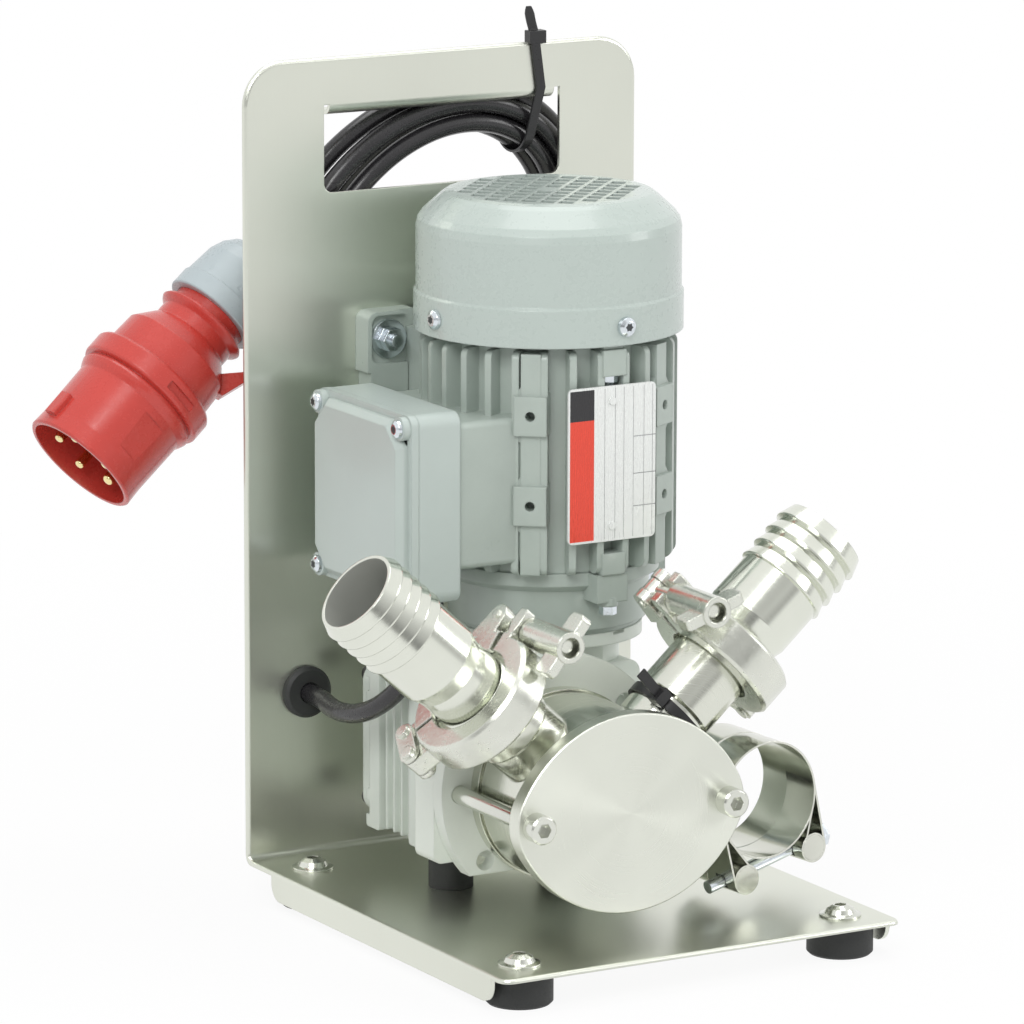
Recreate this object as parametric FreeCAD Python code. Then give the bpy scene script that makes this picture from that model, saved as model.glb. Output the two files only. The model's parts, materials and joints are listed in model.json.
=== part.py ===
"""Honey pump on a bent sheet frame.

Flexible-impeller pump, worm reducer and upright three-phase motor.
Units are millimetres. X = 0 is the pump's vertical middle plane, Y = 0 is the middle of
the footprint, Z = 0 is the floor. The front of the pump faces -Y.
"""
import FreeCAD, Part
import math
import os

V = FreeCAD.Vector
X, Y, Z = V(1, 0, 0), V(0, 1, 0), V(0, 0, 1)

# Clearances
GAP = 0.3                 # between pieces that move past each other
SEAT = 0.05               # radial play of a piece seated in its own hole
RUN = 0.04                # radial play of a running shaft

# Frame sheet
SHEET = 2.0
PLATE_W = 206.0           # width of back plate and base
BACK_H = 370.0            # back plate above the base's top face
BASE_D = 236.0            # base in front of the back plate's front face
BACK_Y = 112.0            # front face of the back plate
BEND_R = 3.0              # inner radius of the main bend
BACK_CORNER_R = 20.0
BASE_CORNER_R = 6.0
FLANGE_H = 13.0           # side flanges, from the base's top face down
FLANGE_START = 23.0       # flange ends, from the back plate's front face
FLANGE_END = BASE_D - 11.0
SLOT_W = 124.0            # handle slot
SLOT_LOW = 308.0
SLOT_HIGH = 348.4
SLOT_R = 4.5
LIP_INNER_R = 3.0
LIP_FLAT = 8.0
LIP_NOTCH = 3.0

# Feet and their screws
FOOT_D, FOOT_H = 30.0, 15.0
FOOT_X = PLATE_W / 2 - 20.0             # from the middle of the plate
FOOT_BACK, FOOT_FRONT = 26.0, BASE_D - 21.0
FOOT_SCREW_D = 8.0
FOOT_SCREW_HEAD_D, FOOT_SCREW_COLLAR_D = 14.0, 19.0
FOOT_SCREW_HEAD_H, FOOT_SCREW_COLLAR_H = 5.0, 1.4
FOOT_SCREW_L = 12.0
HEX_8 = 5.0

# Cable grommet
GROMMET_X, GROMMET_H = 30.5 - PLATE_W / 2, 76.7      # from the plate's middle, above the base
GROMMET_D, GROMMET_HOLE_D, GROMMET_LIP = 24.0, 18.0, 4.0
LEAD_D = 9.0

# Pump axis and worm reducer
PUMP_H = 57.8             # pump axis above the base's top face
CENTRES = 40.0            # worm axis to output axis
PLATE_SHIFT = 20.5        # middle of the plate, to the right of the pump's middle plane
MOTOR_BACK = 63.0         # motor axis in front of the back plate
HOUSE_HALF_Y, HUB_HALF_Y = 31.0, 39.0
HOUSE_HALF_Z = 39.5
HOUSE_WHEEL_SIDE = 35.5   # ribbed face from the pump axis
HOUSE_WORM_SIDE = 31.0    # far face from the worm axis
LUG_PROUD, LUG_L, LUG_HALF_Y = 5.0, 21.0, 26.0
RIB_COUNT, RIB_T, RIB_H = 6, 1.8, 3.0
HUB_R = 36.0
INPUT_NECK_R, INPUT_FLANGE_R, INPUT_FLANGE_T = 33.0, 43.5, 6.0
INPUT_FACE_H = 114.5      # motor flange face above the base's top face
BUFFER_D, BUFFER_X, BUFFER_BACK, BUFFER_SPAN = 20.5, -22.5, 84.0, 58.0

# Worm and wheel
WORM_STARTS, WHEEL_TEETH = 3, 30
MODULE = 2.0
WORM_L = 30.0
WHEEL_FACE = 14.0
TOOTH_PLAY = 0.5          # taken off each flank, so that the pair runs without touching
OUTPUT_SHAFT_D = 18.0
WHEEL_HUB_R = 15.0

# Bearings (bore, outer diameter, width)
MOTOR_BEARING = (12.0, 32.0, 10.0)
WORM_BEARING = (17.0, 35.0, 10.0)
WHEEL_BEARING = (20.0, 42.0, 10.0)

# Output flange
FLANGE_R, FLANGE_T = 58.4, 8.0
FLANGE_FRONT = 139.0      # front face, in front of the back plate
FLANGE_FLAT = 38.3        # flat edge below the axis
BAR_HALF_X, BAR_HALF_Z, BAR_T = 58.0, 33.0, 17.0
BELL_R = 36.0
FLANGE_HOLE_D, FLANGE_HOLE_X, FLANGE_HOLE_Z = 9.0, 36.0, 32.0

# Pump
COVER_FRONT = 206.0
COVER_T = 8.0
COVER_HALF_X, COVER_HALF_Z = 58.0, 45.0
COVER_END_R = 24.0
COVER_BOLT_X = 49.3
BOLT_D, BOLT_HEAD_D, BOLT_HEAD_H, BOLT_KEY = 8.0, 13.0, 8.0, 6.0
REAR_RING_R, REAR_RING_T = 43.5, 6.0
GROOVE_R, GROOVE_T = 41.5, 1.5
BARREL_R = 42.5
CHAMBER_R, CHAMBER_DEPTH = 36.0, 46.0
CAM_R = 33.2
CAM_HALF_ANGLE = 24.0
IMPELLER_PLAY = 0.3
VANES = 6
ORING_R, ORING_T = 39.3, 2.6

# Ports
PORT_ANGLE = 48.5         # each side of vertical
PORT_BACK = 172.0         # port axis in front of the back plate
STUB_R, STUB_BORE_R = 18.0, 15.5
NECK_R = 19.0
STUB_END = 54.0
FERRULE_FACES = {-1: 76.0, 1: 87.5}          # left and right port
FERRULE_R, FERRULE_T = 25.25, 2.85
GASKET_T = 2.0
TAIL_NECK_R, TAIL_BODY_R, TAIL_BARB_R = 18.2, 20.6, 21.9
TAIL_WALL, BARB_ROOT = 1.6, 1.0
TAIL_NECK_END, TAIL_CONE_END, TAIL_BARB_START = 99.0, 107.0, 129.0
TAIL_ENDS = {-1: 160.0, 1: 161.0}
BARBS = {-1: 5, 1: 4}

# Port clamps
CLAMP_R, CLAMP_HALF = 32.0, 8.5
CLAMP_LIP_R = 21.0
CLAMP_BOLT_P = 37.0       # eye bolt line from the port axis
CLAMP_PIVOT_Q = 17.0
CLAMP_SPLIT = 150.0       # direction of the hinge link, from the bolt side
EYE_D, EYE_R, EYE_T, PIN_R = 6.0, 5.0, 6.6, 2.2
NUT_R, NUT_BORE_R, NUT_L = 7.0, 4.6, 33.0
EAR_REACH = 20.0          # ear's curved seat from the pivot
WING_L, WING_T, WING_REACH = 11.0, 5.0, 15.5
WING_TURNS = {-1: -2.5, 1: -68.5}
LINK_R, LINK_SPAN, LINK_W, LINK_T = 38.0, 16.0, 9.0, 2.4

# Motor
STATOR_BOTTOM, STATOR_TOP = 145.0, 248.0     # above the base's top face
STATOR_CORE_R, STATOR_BORE_R, FIN_R = 50.0, 46.0, 58.7
FIN_COUNT, FIN_T = 28, 3.4
FIN_END_R = 4.0
COLUMN_ANGLES = (-128.0, -60.0)      # bolt-on foot columns not used here
COLUMN_HALF, BLOCK_HALF, BLOCK_L, GABLE = 4.5, 7.5, 18.0, 10.0
LUG_STUD_AT, LUG_STUD_D, LUG_NUT_AF, LUG_DROP = 54.0, 4.0, 7.0, 15.0
SHIELD_R = 46.0
BAND_BOTTOM, BAND_H, BAND_R = 250.0, 17.0, 61.5
COVER_SCREW_UP = 8.5
COVER_R, COVER_TOP = 60.5, 312.5
COVER_SHOULDER = [(0.0, 16.0), (0.8, 12.4), (3.0, 9.4), (11.0, 2.2), (13.4, 0.6), (17.0, 0.0)]   # inwards, down
COVER_WALL = 1.5
GRILLE_R, GRILLE_PITCH, GRILLE_BAR = 43.0, 8.6, 2.0
FOOT_BOLT_X = 53.5        # motor foot holes from the motor axis
FOOT_BOLT_LOW, FOOT_BOLT_HIGH = 160.0, 240.0
FOOT_PAD_W, FOOT_PAD_T, FOOT_INNER_X = 26.0, 9.0, 36.0
FOOT_RAIL_X, FOOT_RAIL_T, FOOT_RAIL_W = 44.3, 3.0, 4.5
FOOT_BOLT_D, WASHER_D, WASHER_T, NUT_AF, NUT_H = 6.0, 18.0, 1.6, 10.0, 5.0

# Terminal box
BOX_FACE = 100.6           # cover's outer face from the motor axis
BOX_HALF = 43.4
BOX_H = 180.0             # middle of the box above the base's top face
BOX_COVER_T, BOX_WALL = 9.0, 2.5
BOX_RIM_T, BOX_PANEL_INSET, BOX_PANEL_CORNER = 4.0, 3.0, 11.0
BOX_SCREW = 37.6
BOX_ROOT = 70.5           # back of the box from the motor axis
GLAND_X, GLAND_Y = -60.0, 89.5   # from the plate's middle, in front of the back plate
GLAND_L = 14.0
SADDLE_LOW, SADDLE_HIGH = 151.0, 218.0      # cast neck behind the box

# Name plate on the front of the motor
NAME_LOW, NAME_HIGH, NAME_W = 161.0, 232.0, 45.6
NAME_SHIFT = -1.8         # from the motor axis
NAME_T, NAME_RIVET = 1.0, 7.0

# Hose clamps hung on the right port
HOSE_R, HOSE_BAND_W, HOSE_BAND_T = 27.0, 20.0, 0.9
TRUNNION_R, TRUNNION_REACH, TRUNNION_HALF_ANGLE = 5.9, 37.0, 32.0
HOSE_SCREW_D, HOSE_HEX_AF, HOSE_HEX_H = 6.0, 10.0, 5.0
HOSE_SCREW_END = 9.0
HOSE_FRONT_AT, HOSE_REAR_AT = V(81.9, -64.5, 66.2), V(82.35, -41.0, 65.55)
HOSE_FRONT_YAW, HOSE_REAR_YAW = 6.0, 2.0
HOSE_ROLL = 13.5

# Ties
TIE_W, TIE_T = 4.8, 1.3
TIE_HEAD = 7.5
CLAMP_TIE_AT = 49.8       # along the right port, from the pump axis
HANDLE_TIE_X = 48.0       # from the plate's middle

# Power lead: plug, coil and the tie that hangs them on the handle
PLUG_DIR = V(0.7545, 0.0800, 0.6514)             # from the mouth to the cable entry
PLUG_RIM_R, PLUG_RING_R, PLUG_BODY_R = 28.5, 32.3, 27.2
PLUG_NECK_R, PLUG_THREAD_R, PLUG_CAVITY_R = 19.5, 18.6, 26.0
PLUG_RING_AT, PLUG_BODY_END, PLUG_NECK_AT, PLUG_NUT_AT, PLUG_L = 38.5, 69.0, 79.0, 94.5, 132.0
PLUG_CAVITY, PLUG_NUT_R, PLUG_NUT_END_R = 38.0, 22.8, 10.0
PLUG_WINDOW, PLUG_LATCH = 87.0, 149.0      # directions round the plug
PIN_CIRCLE_R, PIN_D, EARTH_PIN_D, PIN_STAND, PIN_TURN = 15.5, 5.0, 6.0, 35.0, 23.0
COIL_A, COIL_B, COIL_END_R = 78.0, 56.0, 44.0
COIL_TUBE_R, COIL_TILT = 13.5, 38.0

# Places that follow from the values above
BASE_TOP = FOOT_H + SHEET
PLATE_X = PLATE_SHIFT
PUMP_Z = BASE_TOP + PUMP_H
MOTOR_X = CENTRES
MOTOR_Y = BACK_Y - MOTOR_BACK
FLANGE_Y = BACK_Y - FLANGE_FRONT
COVER_Y = BACK_Y - COVER_FRONT
PORT_Y = BACK_Y - PORT_BACK
INPUT_FACE_Z = BASE_TOP + INPUT_FACE_H
STATOR_Z0 = BASE_TOP + STATOR_BOTTOM
STATOR_Z1 = BASE_TOP + STATOR_TOP
BAND_Z0 = BASE_TOP + BAND_BOTTOM
COVER_Z1 = BASE_TOP + COVER_TOP
PLATE_FRAME = V(PLATE_X, BACK_Y, BASE_TOP)
PLUG_MOUTH = PLATE_FRAME + V(-165.7, 43.7, 184.8)
COIL_CENTRE = PLATE_FRAME + V(2.0, SHEET + 2.0 + COIL_TUBE_R, 263.5)
FOOT_XS = (PLATE_X - FOOT_X, PLATE_X + FOOT_X)
FOOT_YS = (BACK_Y - FOOT_BACK, BACK_Y - FOOT_FRONT)

NODES = {}


def add(name, shape):
    """Keep a finished piece under its node name."""
    NODES[name] = shape


def box(x0, x1, y0, y1, z0, z1):
    """Block between two corners."""
    return Part.makeBox(x1 - x0, y1 - y0, z1 - z0, V(x0, y0, z0))


def rod(start, direction, radius, length):
    """Solid cylinder from a point along a direction."""
    return Part.makeCylinder(radius, length, start, direction)


def tube(start, direction, outer, inner, length):
    """Hollow cylinder."""
    return rod(start, direction, outer, length).cut(rod(start, direction, inner, length))


def fuse(shapes):
    """One solid from pieces that touch."""
    whole = shapes[0]
    for shape in shapes[1:]:
        whole = whole.fuse(shape)
    return whole.removeSplitter()


def cut(shape, tools):
    """Take each tool away from the shape."""
    for tool in tools:
        shape = shape.cut(tool)
    return shape


def group(shapes):
    """Separate solids kept in one node."""
    solids = [solid for shape in shapes for solid in shape.Solids]
    return Part.Compound(solids)


def frame_at(origin, x_axis, y_axis, z_axis):
    """Placement that puts local axes on the given world axes."""
    m = FreeCAD.Matrix(x_axis.x, y_axis.x, z_axis.x, origin.x,
                       x_axis.y, y_axis.y, z_axis.y, origin.y,
                       x_axis.z, y_axis.z, z_axis.z, origin.z,
                       0, 0, 0, 1)
    return FreeCAD.Placement(m)


def placed(shape, placement):
    """Copy of a shape moved into place."""
    copy = shape.copy()
    copy.Placement = placement.multiply(copy.Placement)
    return copy


def polygon(points):
    """Flat face through straight-sided corners."""
    return Part.Face(Part.makePolygon(points + [points[0]]))


def turned(profile, placement=None, angle=360.0):
    """Revolve (radius, height) points about local Z."""
    face = polygon([V(r, 0, h) for r, h in profile])
    solid = face.revolve(V(0, 0, 0), Z, angle)
    return placed(solid, placement) if placement else solid


def prism(points, direction):
    """Extrude a flat polygon."""
    return polygon(points).extrude(direction)


def hexagon(across_flats, height, start, direction):
    """Hexagonal prism about an axis."""
    radius = across_flats / math.sqrt(3)
    corners = [V(radius * math.cos(k * math.pi / 3), radius * math.sin(k * math.pi / 3), 0) for k in range(6)]
    solid = prism(corners, V(0, 0, height))
    return placed(solid, FreeCAD.Placement(start, FreeCAD.Rotation(Z, direction)))


def along(direction, start):
    """Placement that turns local Z onto a direction."""
    return FreeCAD.Placement(start, FreeCAD.Rotation(Z, direction))


def rounded_box(x0, x1, y0, y1, z0, z1, radius, axis):
    """Block with its four edges along one axis rounded."""
    block = box(x0, x1, y0, y1, z0, z1)
    edges = [edge for edge in block.Edges if edge.tangentAt(edge.FirstParameter).cross(axis).Length < 1e-6]
    return block.makeFillet(radius, edges)


# Frame

def frame_plate():
    """Bent sheet: back plate, base, side flanges, handle slot with its folded lip."""
    x0, x1 = PLATE_X - PLATE_W / 2, PLATE_X + PLATE_W / 2
    top = BASE_TOP + BACK_H
    front = BACK_Y - BASE_D
    outer = BEND_R + SHEET
    back_y = BACK_Y + SHEET
    arc_out = Part.Arc(V(x0, back_y, FOOT_H + outer),
                       V(x0, back_y - outer * (1 - math.sqrt(0.5)), FOOT_H + outer * (1 - math.sqrt(0.5))),
                       V(x0, back_y - outer, FOOT_H))
    arc_in = Part.Arc(V(x0, BACK_Y - BEND_R, BASE_TOP),
                      V(x0, BACK_Y - BEND_R * (1 - math.sqrt(0.5)), BASE_TOP + BEND_R * (1 - math.sqrt(0.5))),
                      V(x0, BACK_Y, BASE_TOP + BEND_R))
    edges = [Part.makeLine(V(x0, back_y, top), V(x0, back_y, FOOT_H + outer)), arc_out.toShape(),
             Part.makeLine(V(x0, back_y - outer, FOOT_H), V(x0, front, FOOT_H)),
             Part.makeLine(V(x0, front, FOOT_H), V(x0, front, BASE_TOP)),
             Part.makeLine(V(x0, front, BASE_TOP), V(x0, BACK_Y - BEND_R, BASE_TOP)), arc_in.toShape(),
             Part.makeLine(V(x0, BACK_Y, BASE_TOP + BEND_R), V(x0, BACK_Y, top)),
             Part.makeLine(V(x0, BACK_Y, top), V(x0, back_y, top))]
    sheet = Part.Face(Part.Wire(edges)).extrude(V(PLATE_W, 0, 0))
    for low, high, axis, radius in ((top - 1, top + 1, Y, BACK_CORNER_R), (FOOT_H, BASE_TOP, Z, BASE_CORNER_R)):
        corners = []
        for edge in sheet.Edges:
            mid = edge.CenterOfMass
            is_along = edge.tangentAt(edge.FirstParameter).cross(axis).Length < 1e-6
            at_end = (mid.z > top - 1) if axis is Y else (mid.y < front + 1)
            if is_along and at_end and low <= mid.z <= high and (abs(mid.x - x0) < 1 or abs(mid.x - x1) < 1):
                corners.append(edge)
        sheet = sheet.makeFillet(radius, corners)
    flanges = []
    for edge_x, inward in ((x0, 1), (x1, -1)):
        a, b = sorted((edge_x, edge_x + inward * SHEET))
        y0, y1 = BACK_Y - FLANGE_END, BACK_Y - FLANGE_START
        strip = box(a, b, y0, y1, BASE_TOP - FLANGE_H, FOOT_H)
        low = [e for e in strip.Edges
               if e.CenterOfMass.z < FOOT_H and e.tangentAt(0).cross(X).Length < 1e-6
               and e.CenterOfMass.z < BASE_TOP - FLANGE_H + 0.1]
        flanges.append(strip.makeFillet(FLANGE_H * 0.6, low))
    sheet = fuse([sheet] + flanges)
    long_edges = [e for e in sheet.Edges
                  if e.Length > 150 and e.tangentAt(e.FirstParameter).cross(Y).Length < 1e-6
                  and abs(e.CenterOfMass.z - BASE_TOP) < 0.01]
    sheet = sheet.makeFillet(SHEET * 0.9, long_edges)
    return cut(sheet, frame_holes()).fuse(handle_lip()).removeSplitter()


def frame_holes():
    """Handle slot, grommet hole and every screw hole of the sheet."""
    back = BACK_Y - 1
    deep = SHEET + 2
    slot = rounded_box(PLATE_X - SLOT_W / 2, PLATE_X + SLOT_W / 2, back, back + deep,
                       BASE_TOP + SLOT_LOW, BASE_TOP + SLOT_HIGH, SLOT_R, Y)
    lip_top = box(PLATE_X - SLOT_W / 2, PLATE_X + SLOT_W / 2, back, back + deep,
                  BASE_TOP + SLOT_HIGH - SLOT_R - 1, BASE_TOP + SLOT_HIGH)
    tools = [slot, lip_top,
             rod(V(PLATE_X + GROMMET_X, back, BASE_TOP + GROMMET_H), Y, GROMMET_HOLE_D / 2, deep)]
    for x in (MOTOR_X - FOOT_BOLT_X, MOTOR_X + FOOT_BOLT_X):
        for h in (FOOT_BOLT_LOW, FOOT_BOLT_HIGH):
            tools.append(rod(V(x, back, BASE_TOP + h), Y, FOOT_BOLT_D / 2 + GAP, deep))
    for x in FOOT_XS:
        for y in FOOT_YS:
            tools.append(rod(V(x, y, FOOT_H - 1), Z, FOOT_SCREW_D / 2 + GAP, deep))
    for x in buffer_xs():
        tools.append(rod(V(x, BACK_Y - BUFFER_BACK, FOOT_H - 1), Z, FOOT_BOLT_D / 2 + GAP, deep))
    return tools


def handle_lip():
    """Tongue folded back from the slot's upper edge, for the hand."""
    length = SLOT_W - 2 * LIP_NOTCH
    x0 = PLATE_X - length / 2
    outer = LIP_INNER_R + SHEET
    z1 = BASE_TOP + SLOT_HIGH + 0.5
    zc = z1 - 0.5
    yc = BACK_Y + outer
    s = math.sqrt(0.5)
    end = yc + LIP_FLAT
    edges = [Part.makeLine(V(x0, BACK_Y, z1), V(x0, BACK_Y, zc)),
             Part.Arc(V(x0, BACK_Y, zc), V(x0, yc - outer * s, zc - outer * s), V(x0, yc, zc - outer)).toShape(),
             Part.makeLine(V(x0, yc, zc - outer), V(x0, end, zc - outer)),
             Part.makeLine(V(x0, end, zc - outer), V(x0, end, zc - LIP_INNER_R)),
             Part.makeLine(V(x0, end, zc - LIP_INNER_R), V(x0, yc, zc - LIP_INNER_R)),
             Part.Arc(V(x0, yc, zc - LIP_INNER_R), V(x0, yc - LIP_INNER_R * s, zc - LIP_INNER_R * s),
                      V(x0, yc - LIP_INNER_R, zc)).toShape(),
             Part.makeLine(V(x0, yc - LIP_INNER_R, zc), V(x0, yc - LIP_INNER_R, z1)),
             Part.makeLine(V(x0, yc - LIP_INNER_R, z1), V(x0, BACK_Y, z1))]
    return Part.Face(Part.Wire(edges)).extrude(V(length, 0, 0))


def buffer_xs():
    """Places of the two rubber buffers under the reducer."""
    return (BUFFER_X, BUFFER_X + BUFFER_SPAN)


def rubber_feet():
    """Four turned feet with a chamfered sole and a blind screw hole."""
    feet = []
    r, hole = FOOT_D / 2, FOOT_SCREW_D / 2 + SEAT
    depth = FOOT_SCREW_L - SHEET + 1
    profile = [(0, 0), (r - 1.2, 0), (r, 1.2), (r, FOOT_H), (hole, FOOT_H), (hole, FOOT_H - depth), (0, FOOT_H - depth)]
    for x in FOOT_XS:
        for y in FOOT_YS:
            feet.append(turned(profile, FreeCAD.Placement(V(x, y, 0), FreeCAD.Rotation())))
    return group(feet)


def foot_screws():
    """Dome screws with a collar, one over each foot."""
    r, head, collar = FOOT_SCREW_D / 2, FOOT_SCREW_HEAD_D / 2, FOOT_SCREW_COLLAR_D / 2
    profile = [(0, -FOOT_SCREW_L), (r, -FOOT_SCREW_L), (r, 0), (collar, 0), (collar, FOOT_SCREW_COLLAR_H * 0.6),
               (head, FOOT_SCREW_COLLAR_H), (head * 0.86, FOOT_SCREW_HEAD_H * 0.7),
               (head * 0.5, FOOT_SCREW_HEAD_H), (0, FOOT_SCREW_HEAD_H)]
    screws = []
    for x in FOOT_XS:
        for y in FOOT_YS:
            seat = V(x, y, BASE_TOP)
            screw = turned(profile, FreeCAD.Placement(seat, FreeCAD.Rotation()))
            key = hexagon(HEX_8, FOOT_SCREW_HEAD_H, seat + V(0, 0, FOOT_SCREW_HEAD_H * 0.45), Z)
            screws.append(screw.cut(key))
    return group(screws)


def cable_grommet():
    """Rubber ring snapped into the back plate."""
    r, hole, bore = GROMMET_D / 2, GROMMET_HOLE_D / 2 - SEAT, LEAD_D / 2 + GAP
    t, lip = SHEET / 2 + SEAT, GROMMET_LIP
    profile = [(bore, -t - lip), (r - 1.5, -t - lip), (r, -t - lip + 1.5), (r, -t), (hole, -t), (hole, t),
               (r, t), (r, t + lip - 1.5), (r - 1.5, t + lip), (bore, t + lip)]
    centre = V(PLATE_X + GROMMET_X, BACK_Y + SHEET / 2, BASE_TOP + GROMMET_H)
    return turned(profile, along(Y, centre))


# Worm reducer

def gearbox_housing():
    """Cast case: wheel bore, worm bore, bearing seats, ribbed side with foot lugs, input flange."""
    y0, y1 = MOTOR_Y - HOUSE_HALF_Y, MOTOR_Y + HOUSE_HALF_Y
    z0, z1 = PUMP_Z - HOUSE_HALF_Z, PUMP_Z + HOUSE_HALF_Z
    x0, x1 = -HOUSE_WHEEL_SIDE, MOTOR_X + HOUSE_WORM_SIDE
    body = rounded_box(x0, x1, y0, y1, z0, z1, 6.0, Y)
    hub = rod(V(0, MOTOR_Y - HUB_HALF_Y, PUMP_Z), Y, HUB_R, HUB_HALF_Y)
    worm_at = V(MOTOR_X, MOTOR_Y, 0)
    neck_h = INPUT_FACE_Z - z1
    neck = rod(worm_at + V(0, 0, z1), Z, INPUT_NECK_R, neck_h)
    flange = rod(worm_at + V(0, 0, INPUT_FACE_Z - INPUT_FLANGE_T), Z, INPUT_FLANGE_R, INPUT_FLANGE_T)
    neck = neck.common(box(-60, MOTOR_X + HOUSE_WORM_SIDE, y0, y1, z1, INPUT_FACE_Z))
    parts = [body, hub, neck, flange] + wheel_side_details(x0, z0, z1)
    case = fuse(parts)
    wheel_r = WHEEL_TEETH * MODULE / 2 + MODULE + GAP + 0.7
    tools = [rod(V(0, MOTOR_Y - WHEEL_FACE, PUMP_Z), Y, wheel_r, WHEEL_FACE + HOUSE_HALF_Y + 1),
             rod(V(0, MOTOR_Y - HUB_HALF_Y - 1, PUMP_Z), Y, WHEEL_BEARING[1] / 2 - 4, HUB_HALF_Y + 2),
             rod(V(0, MOTOR_Y - WHEEL_FACE - WHEEL_BEARING[2] - 1, PUMP_Z), Y, WHEEL_BEARING[1] / 2 + SEAT,
                 WHEEL_BEARING[2] + 2)]
    worm_r = WORM_BEARING[1] / 2
    worm_low = worm_bearing_heights()[0] - WORM_BEARING[2] / 2
    tools.append(rod(worm_at + V(0, 0, worm_low), Z, worm_r + SEAT, INPUT_FACE_Z + 1 - worm_low))
    notch = rod(V(MOTOR_X + 14, MOTOR_Y - INPUT_FLANGE_R + 1, INPUT_FACE_Z - 1.6), Z, 4.0, 2.0)
    tools.append(notch)
    for x in buffer_xs():
        tools.append(rod(V(x, BACK_Y - BUFFER_BACK, z0 - 1), Z, FOOT_BOLT_D / 2 + SEAT, 9))
    tools += [rod(p, -Y, 2.5 + SEAT, HUB_HALF_Y - HOUSE_HALF_Y + 11) for p in cover_screw_places()]
    tools += [rod(V(p.x, MOTOR_Y - HUB_HALF_Y - 1, p.z), Y, 3.0 + SEAT, 14) for p in flange_screw_places()]
    return cut(case, tools)


def wheel_side_details(x0, z0, z1):
    """Upright ribs, rails and open-ended foot lugs on the wheel side of the case."""
    shapes = []
    span = 2 * (LUG_HALF_Y - LUG_PROUD)
    for k in range(RIB_COUNT):
        y = MOTOR_Y - span / 2 + span * (k + 0.5) / RIB_COUNT
        shapes.append(box(x0 - RIB_H, x0 + 1, y - RIB_T / 2, y + RIB_T / 2, z0 + 3, z1 - 3))
    for side in (-1, 1):
        edge = MOTOR_Y + side * LUG_HALF_Y
        inner = MOTOR_Y + side * (LUG_HALF_Y - 12.2)
        rail = sorted((edge - side * 3.0, inner))
        shapes.append(box(x0 - LUG_PROUD, x0 + 1, rail[0], rail[1], z0 + 4, z1 - 4))
        for low in (z0, z1 - LUG_L):
            a, b = sorted((edge, inner))
            lug = rounded_box(x0 - LUG_PROUD, x0 + 1, a, b, low + 1.5, low + LUG_L - 1.5, 1.5, X)
            slot_z = low + LUG_L / 2
            deep = edge - side * 6.5
            s = sorted((edge + side, deep))
            slot = box(x0 - LUG_PROUD - 1, x0 + 2, s[0], s[1], slot_z - 3.3, slot_z + 3.3)
            round_end = rod(V(x0 - LUG_PROUD - 1, deep, slot_z), X, 3.3, LUG_PROUD + 3)
            shapes.append(lug.cut(slot).cut(round_end))
    return shapes


def gearbox_cover():
    """Round cover that carries the rear wheel bearing."""
    y0 = MOTOR_Y + HOUSE_HALF_Y
    spigot_r = WHEEL_TEETH * MODULE / 2 + MODULE + GAP + 0.7 - SEAT
    inner_y = MOTOR_Y + WHEEL_FACE + 1
    half = HOUSE_WHEEL_SIDE - 0.5
    disc = rounded_box(-half, half, y0, MOTOR_Y + HUB_HALF_Y, PUMP_Z - half, PUMP_Z + half, 8.0, Y)
    boss = rod(V(0, y0, PUMP_Z), Y, WHEEL_BEARING[1] / 2 + 5, HUB_HALF_Y - HOUSE_HALF_Y + 2)
    spigot = rod(V(0, inner_y, PUMP_Z), Y, spigot_r, y0 - inner_y)
    seat = rod(V(0, inner_y - 1, PUMP_Z), Y, WHEEL_BEARING[1] / 2 + SEAT, WHEEL_BEARING[2] + 1)
    worm_room = rod(V(MOTOR_X, MOTOR_Y, PUMP_Z - 30), Z, WORM_BEARING[1] / 2 + 2, 60)
    screws = [rod(p + Y, -Y, 2.5 + SEAT, HUB_HALF_Y - HOUSE_HALF_Y + 2) for p in cover_screw_places()]
    return cut(fuse([disc, spigot, boss]), [seat, worm_room] + screws)


def cover_screw_places():
    """Screw seats on the rear cover."""
    y = MOTOR_Y + HUB_HALF_Y
    r = HOUSE_WHEEL_SIDE - 6.5
    return [V(a * r, y, PUMP_Z + b * r) for a in (-1, 1) for b in (-1, 1)]


def gearbox_cover_screws():
    """Socket screws in the rear cover."""
    length = HUB_HALF_Y - HOUSE_HALF_Y + 9
    return group([socket_bolt(p, -Y, 5.0, length, 8.5, 5.0, 4.0) for p in cover_screw_places()])


def flange_screw_places():
    """Screw seats inside the output flange."""
    r = BELL_R - 7
    y = FLANGE_Y + FLANGE_T
    return [V(r * math.cos(a), y, PUMP_Z + r * math.sin(a)) for a in (math.radians(45 + 90 * k) for k in range(4))]


def flange_screws():
    """Socket screws that hold the output flange on the reducer, heads sunk in its face."""
    length = MOTOR_Y - HUB_HALF_Y - FLANGE_Y - FLANGE_T + 11
    return group([socket_bolt(p, Y, 6.0, length, 10.0, 6.0, 5.0) for p in flange_screw_places()])


def gearbox_buffers():
    """Rubber buffers with their studs, between base and reducer."""
    z0, z1 = BASE_TOP, PUMP_Z - HOUSE_HALF_Z
    shapes = []
    for x in buffer_xs():
        at = V(x, BACK_Y - BUFFER_BACK, z0)
        rubber = rod(at, Z, BUFFER_D / 2, z1 - z0)
        stud = rod(at - V(0, 0, SHEET + 5), Z, FOOT_BOLT_D / 2, SHEET + 5 + z1 - z0 + 7)
        nut = hexagon(NUT_AF, NUT_H, at - V(0, 0, SHEET + NUT_H), Z)
        shapes.append(fuse([rubber, stud, nut]))
    return group(shapes)


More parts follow.
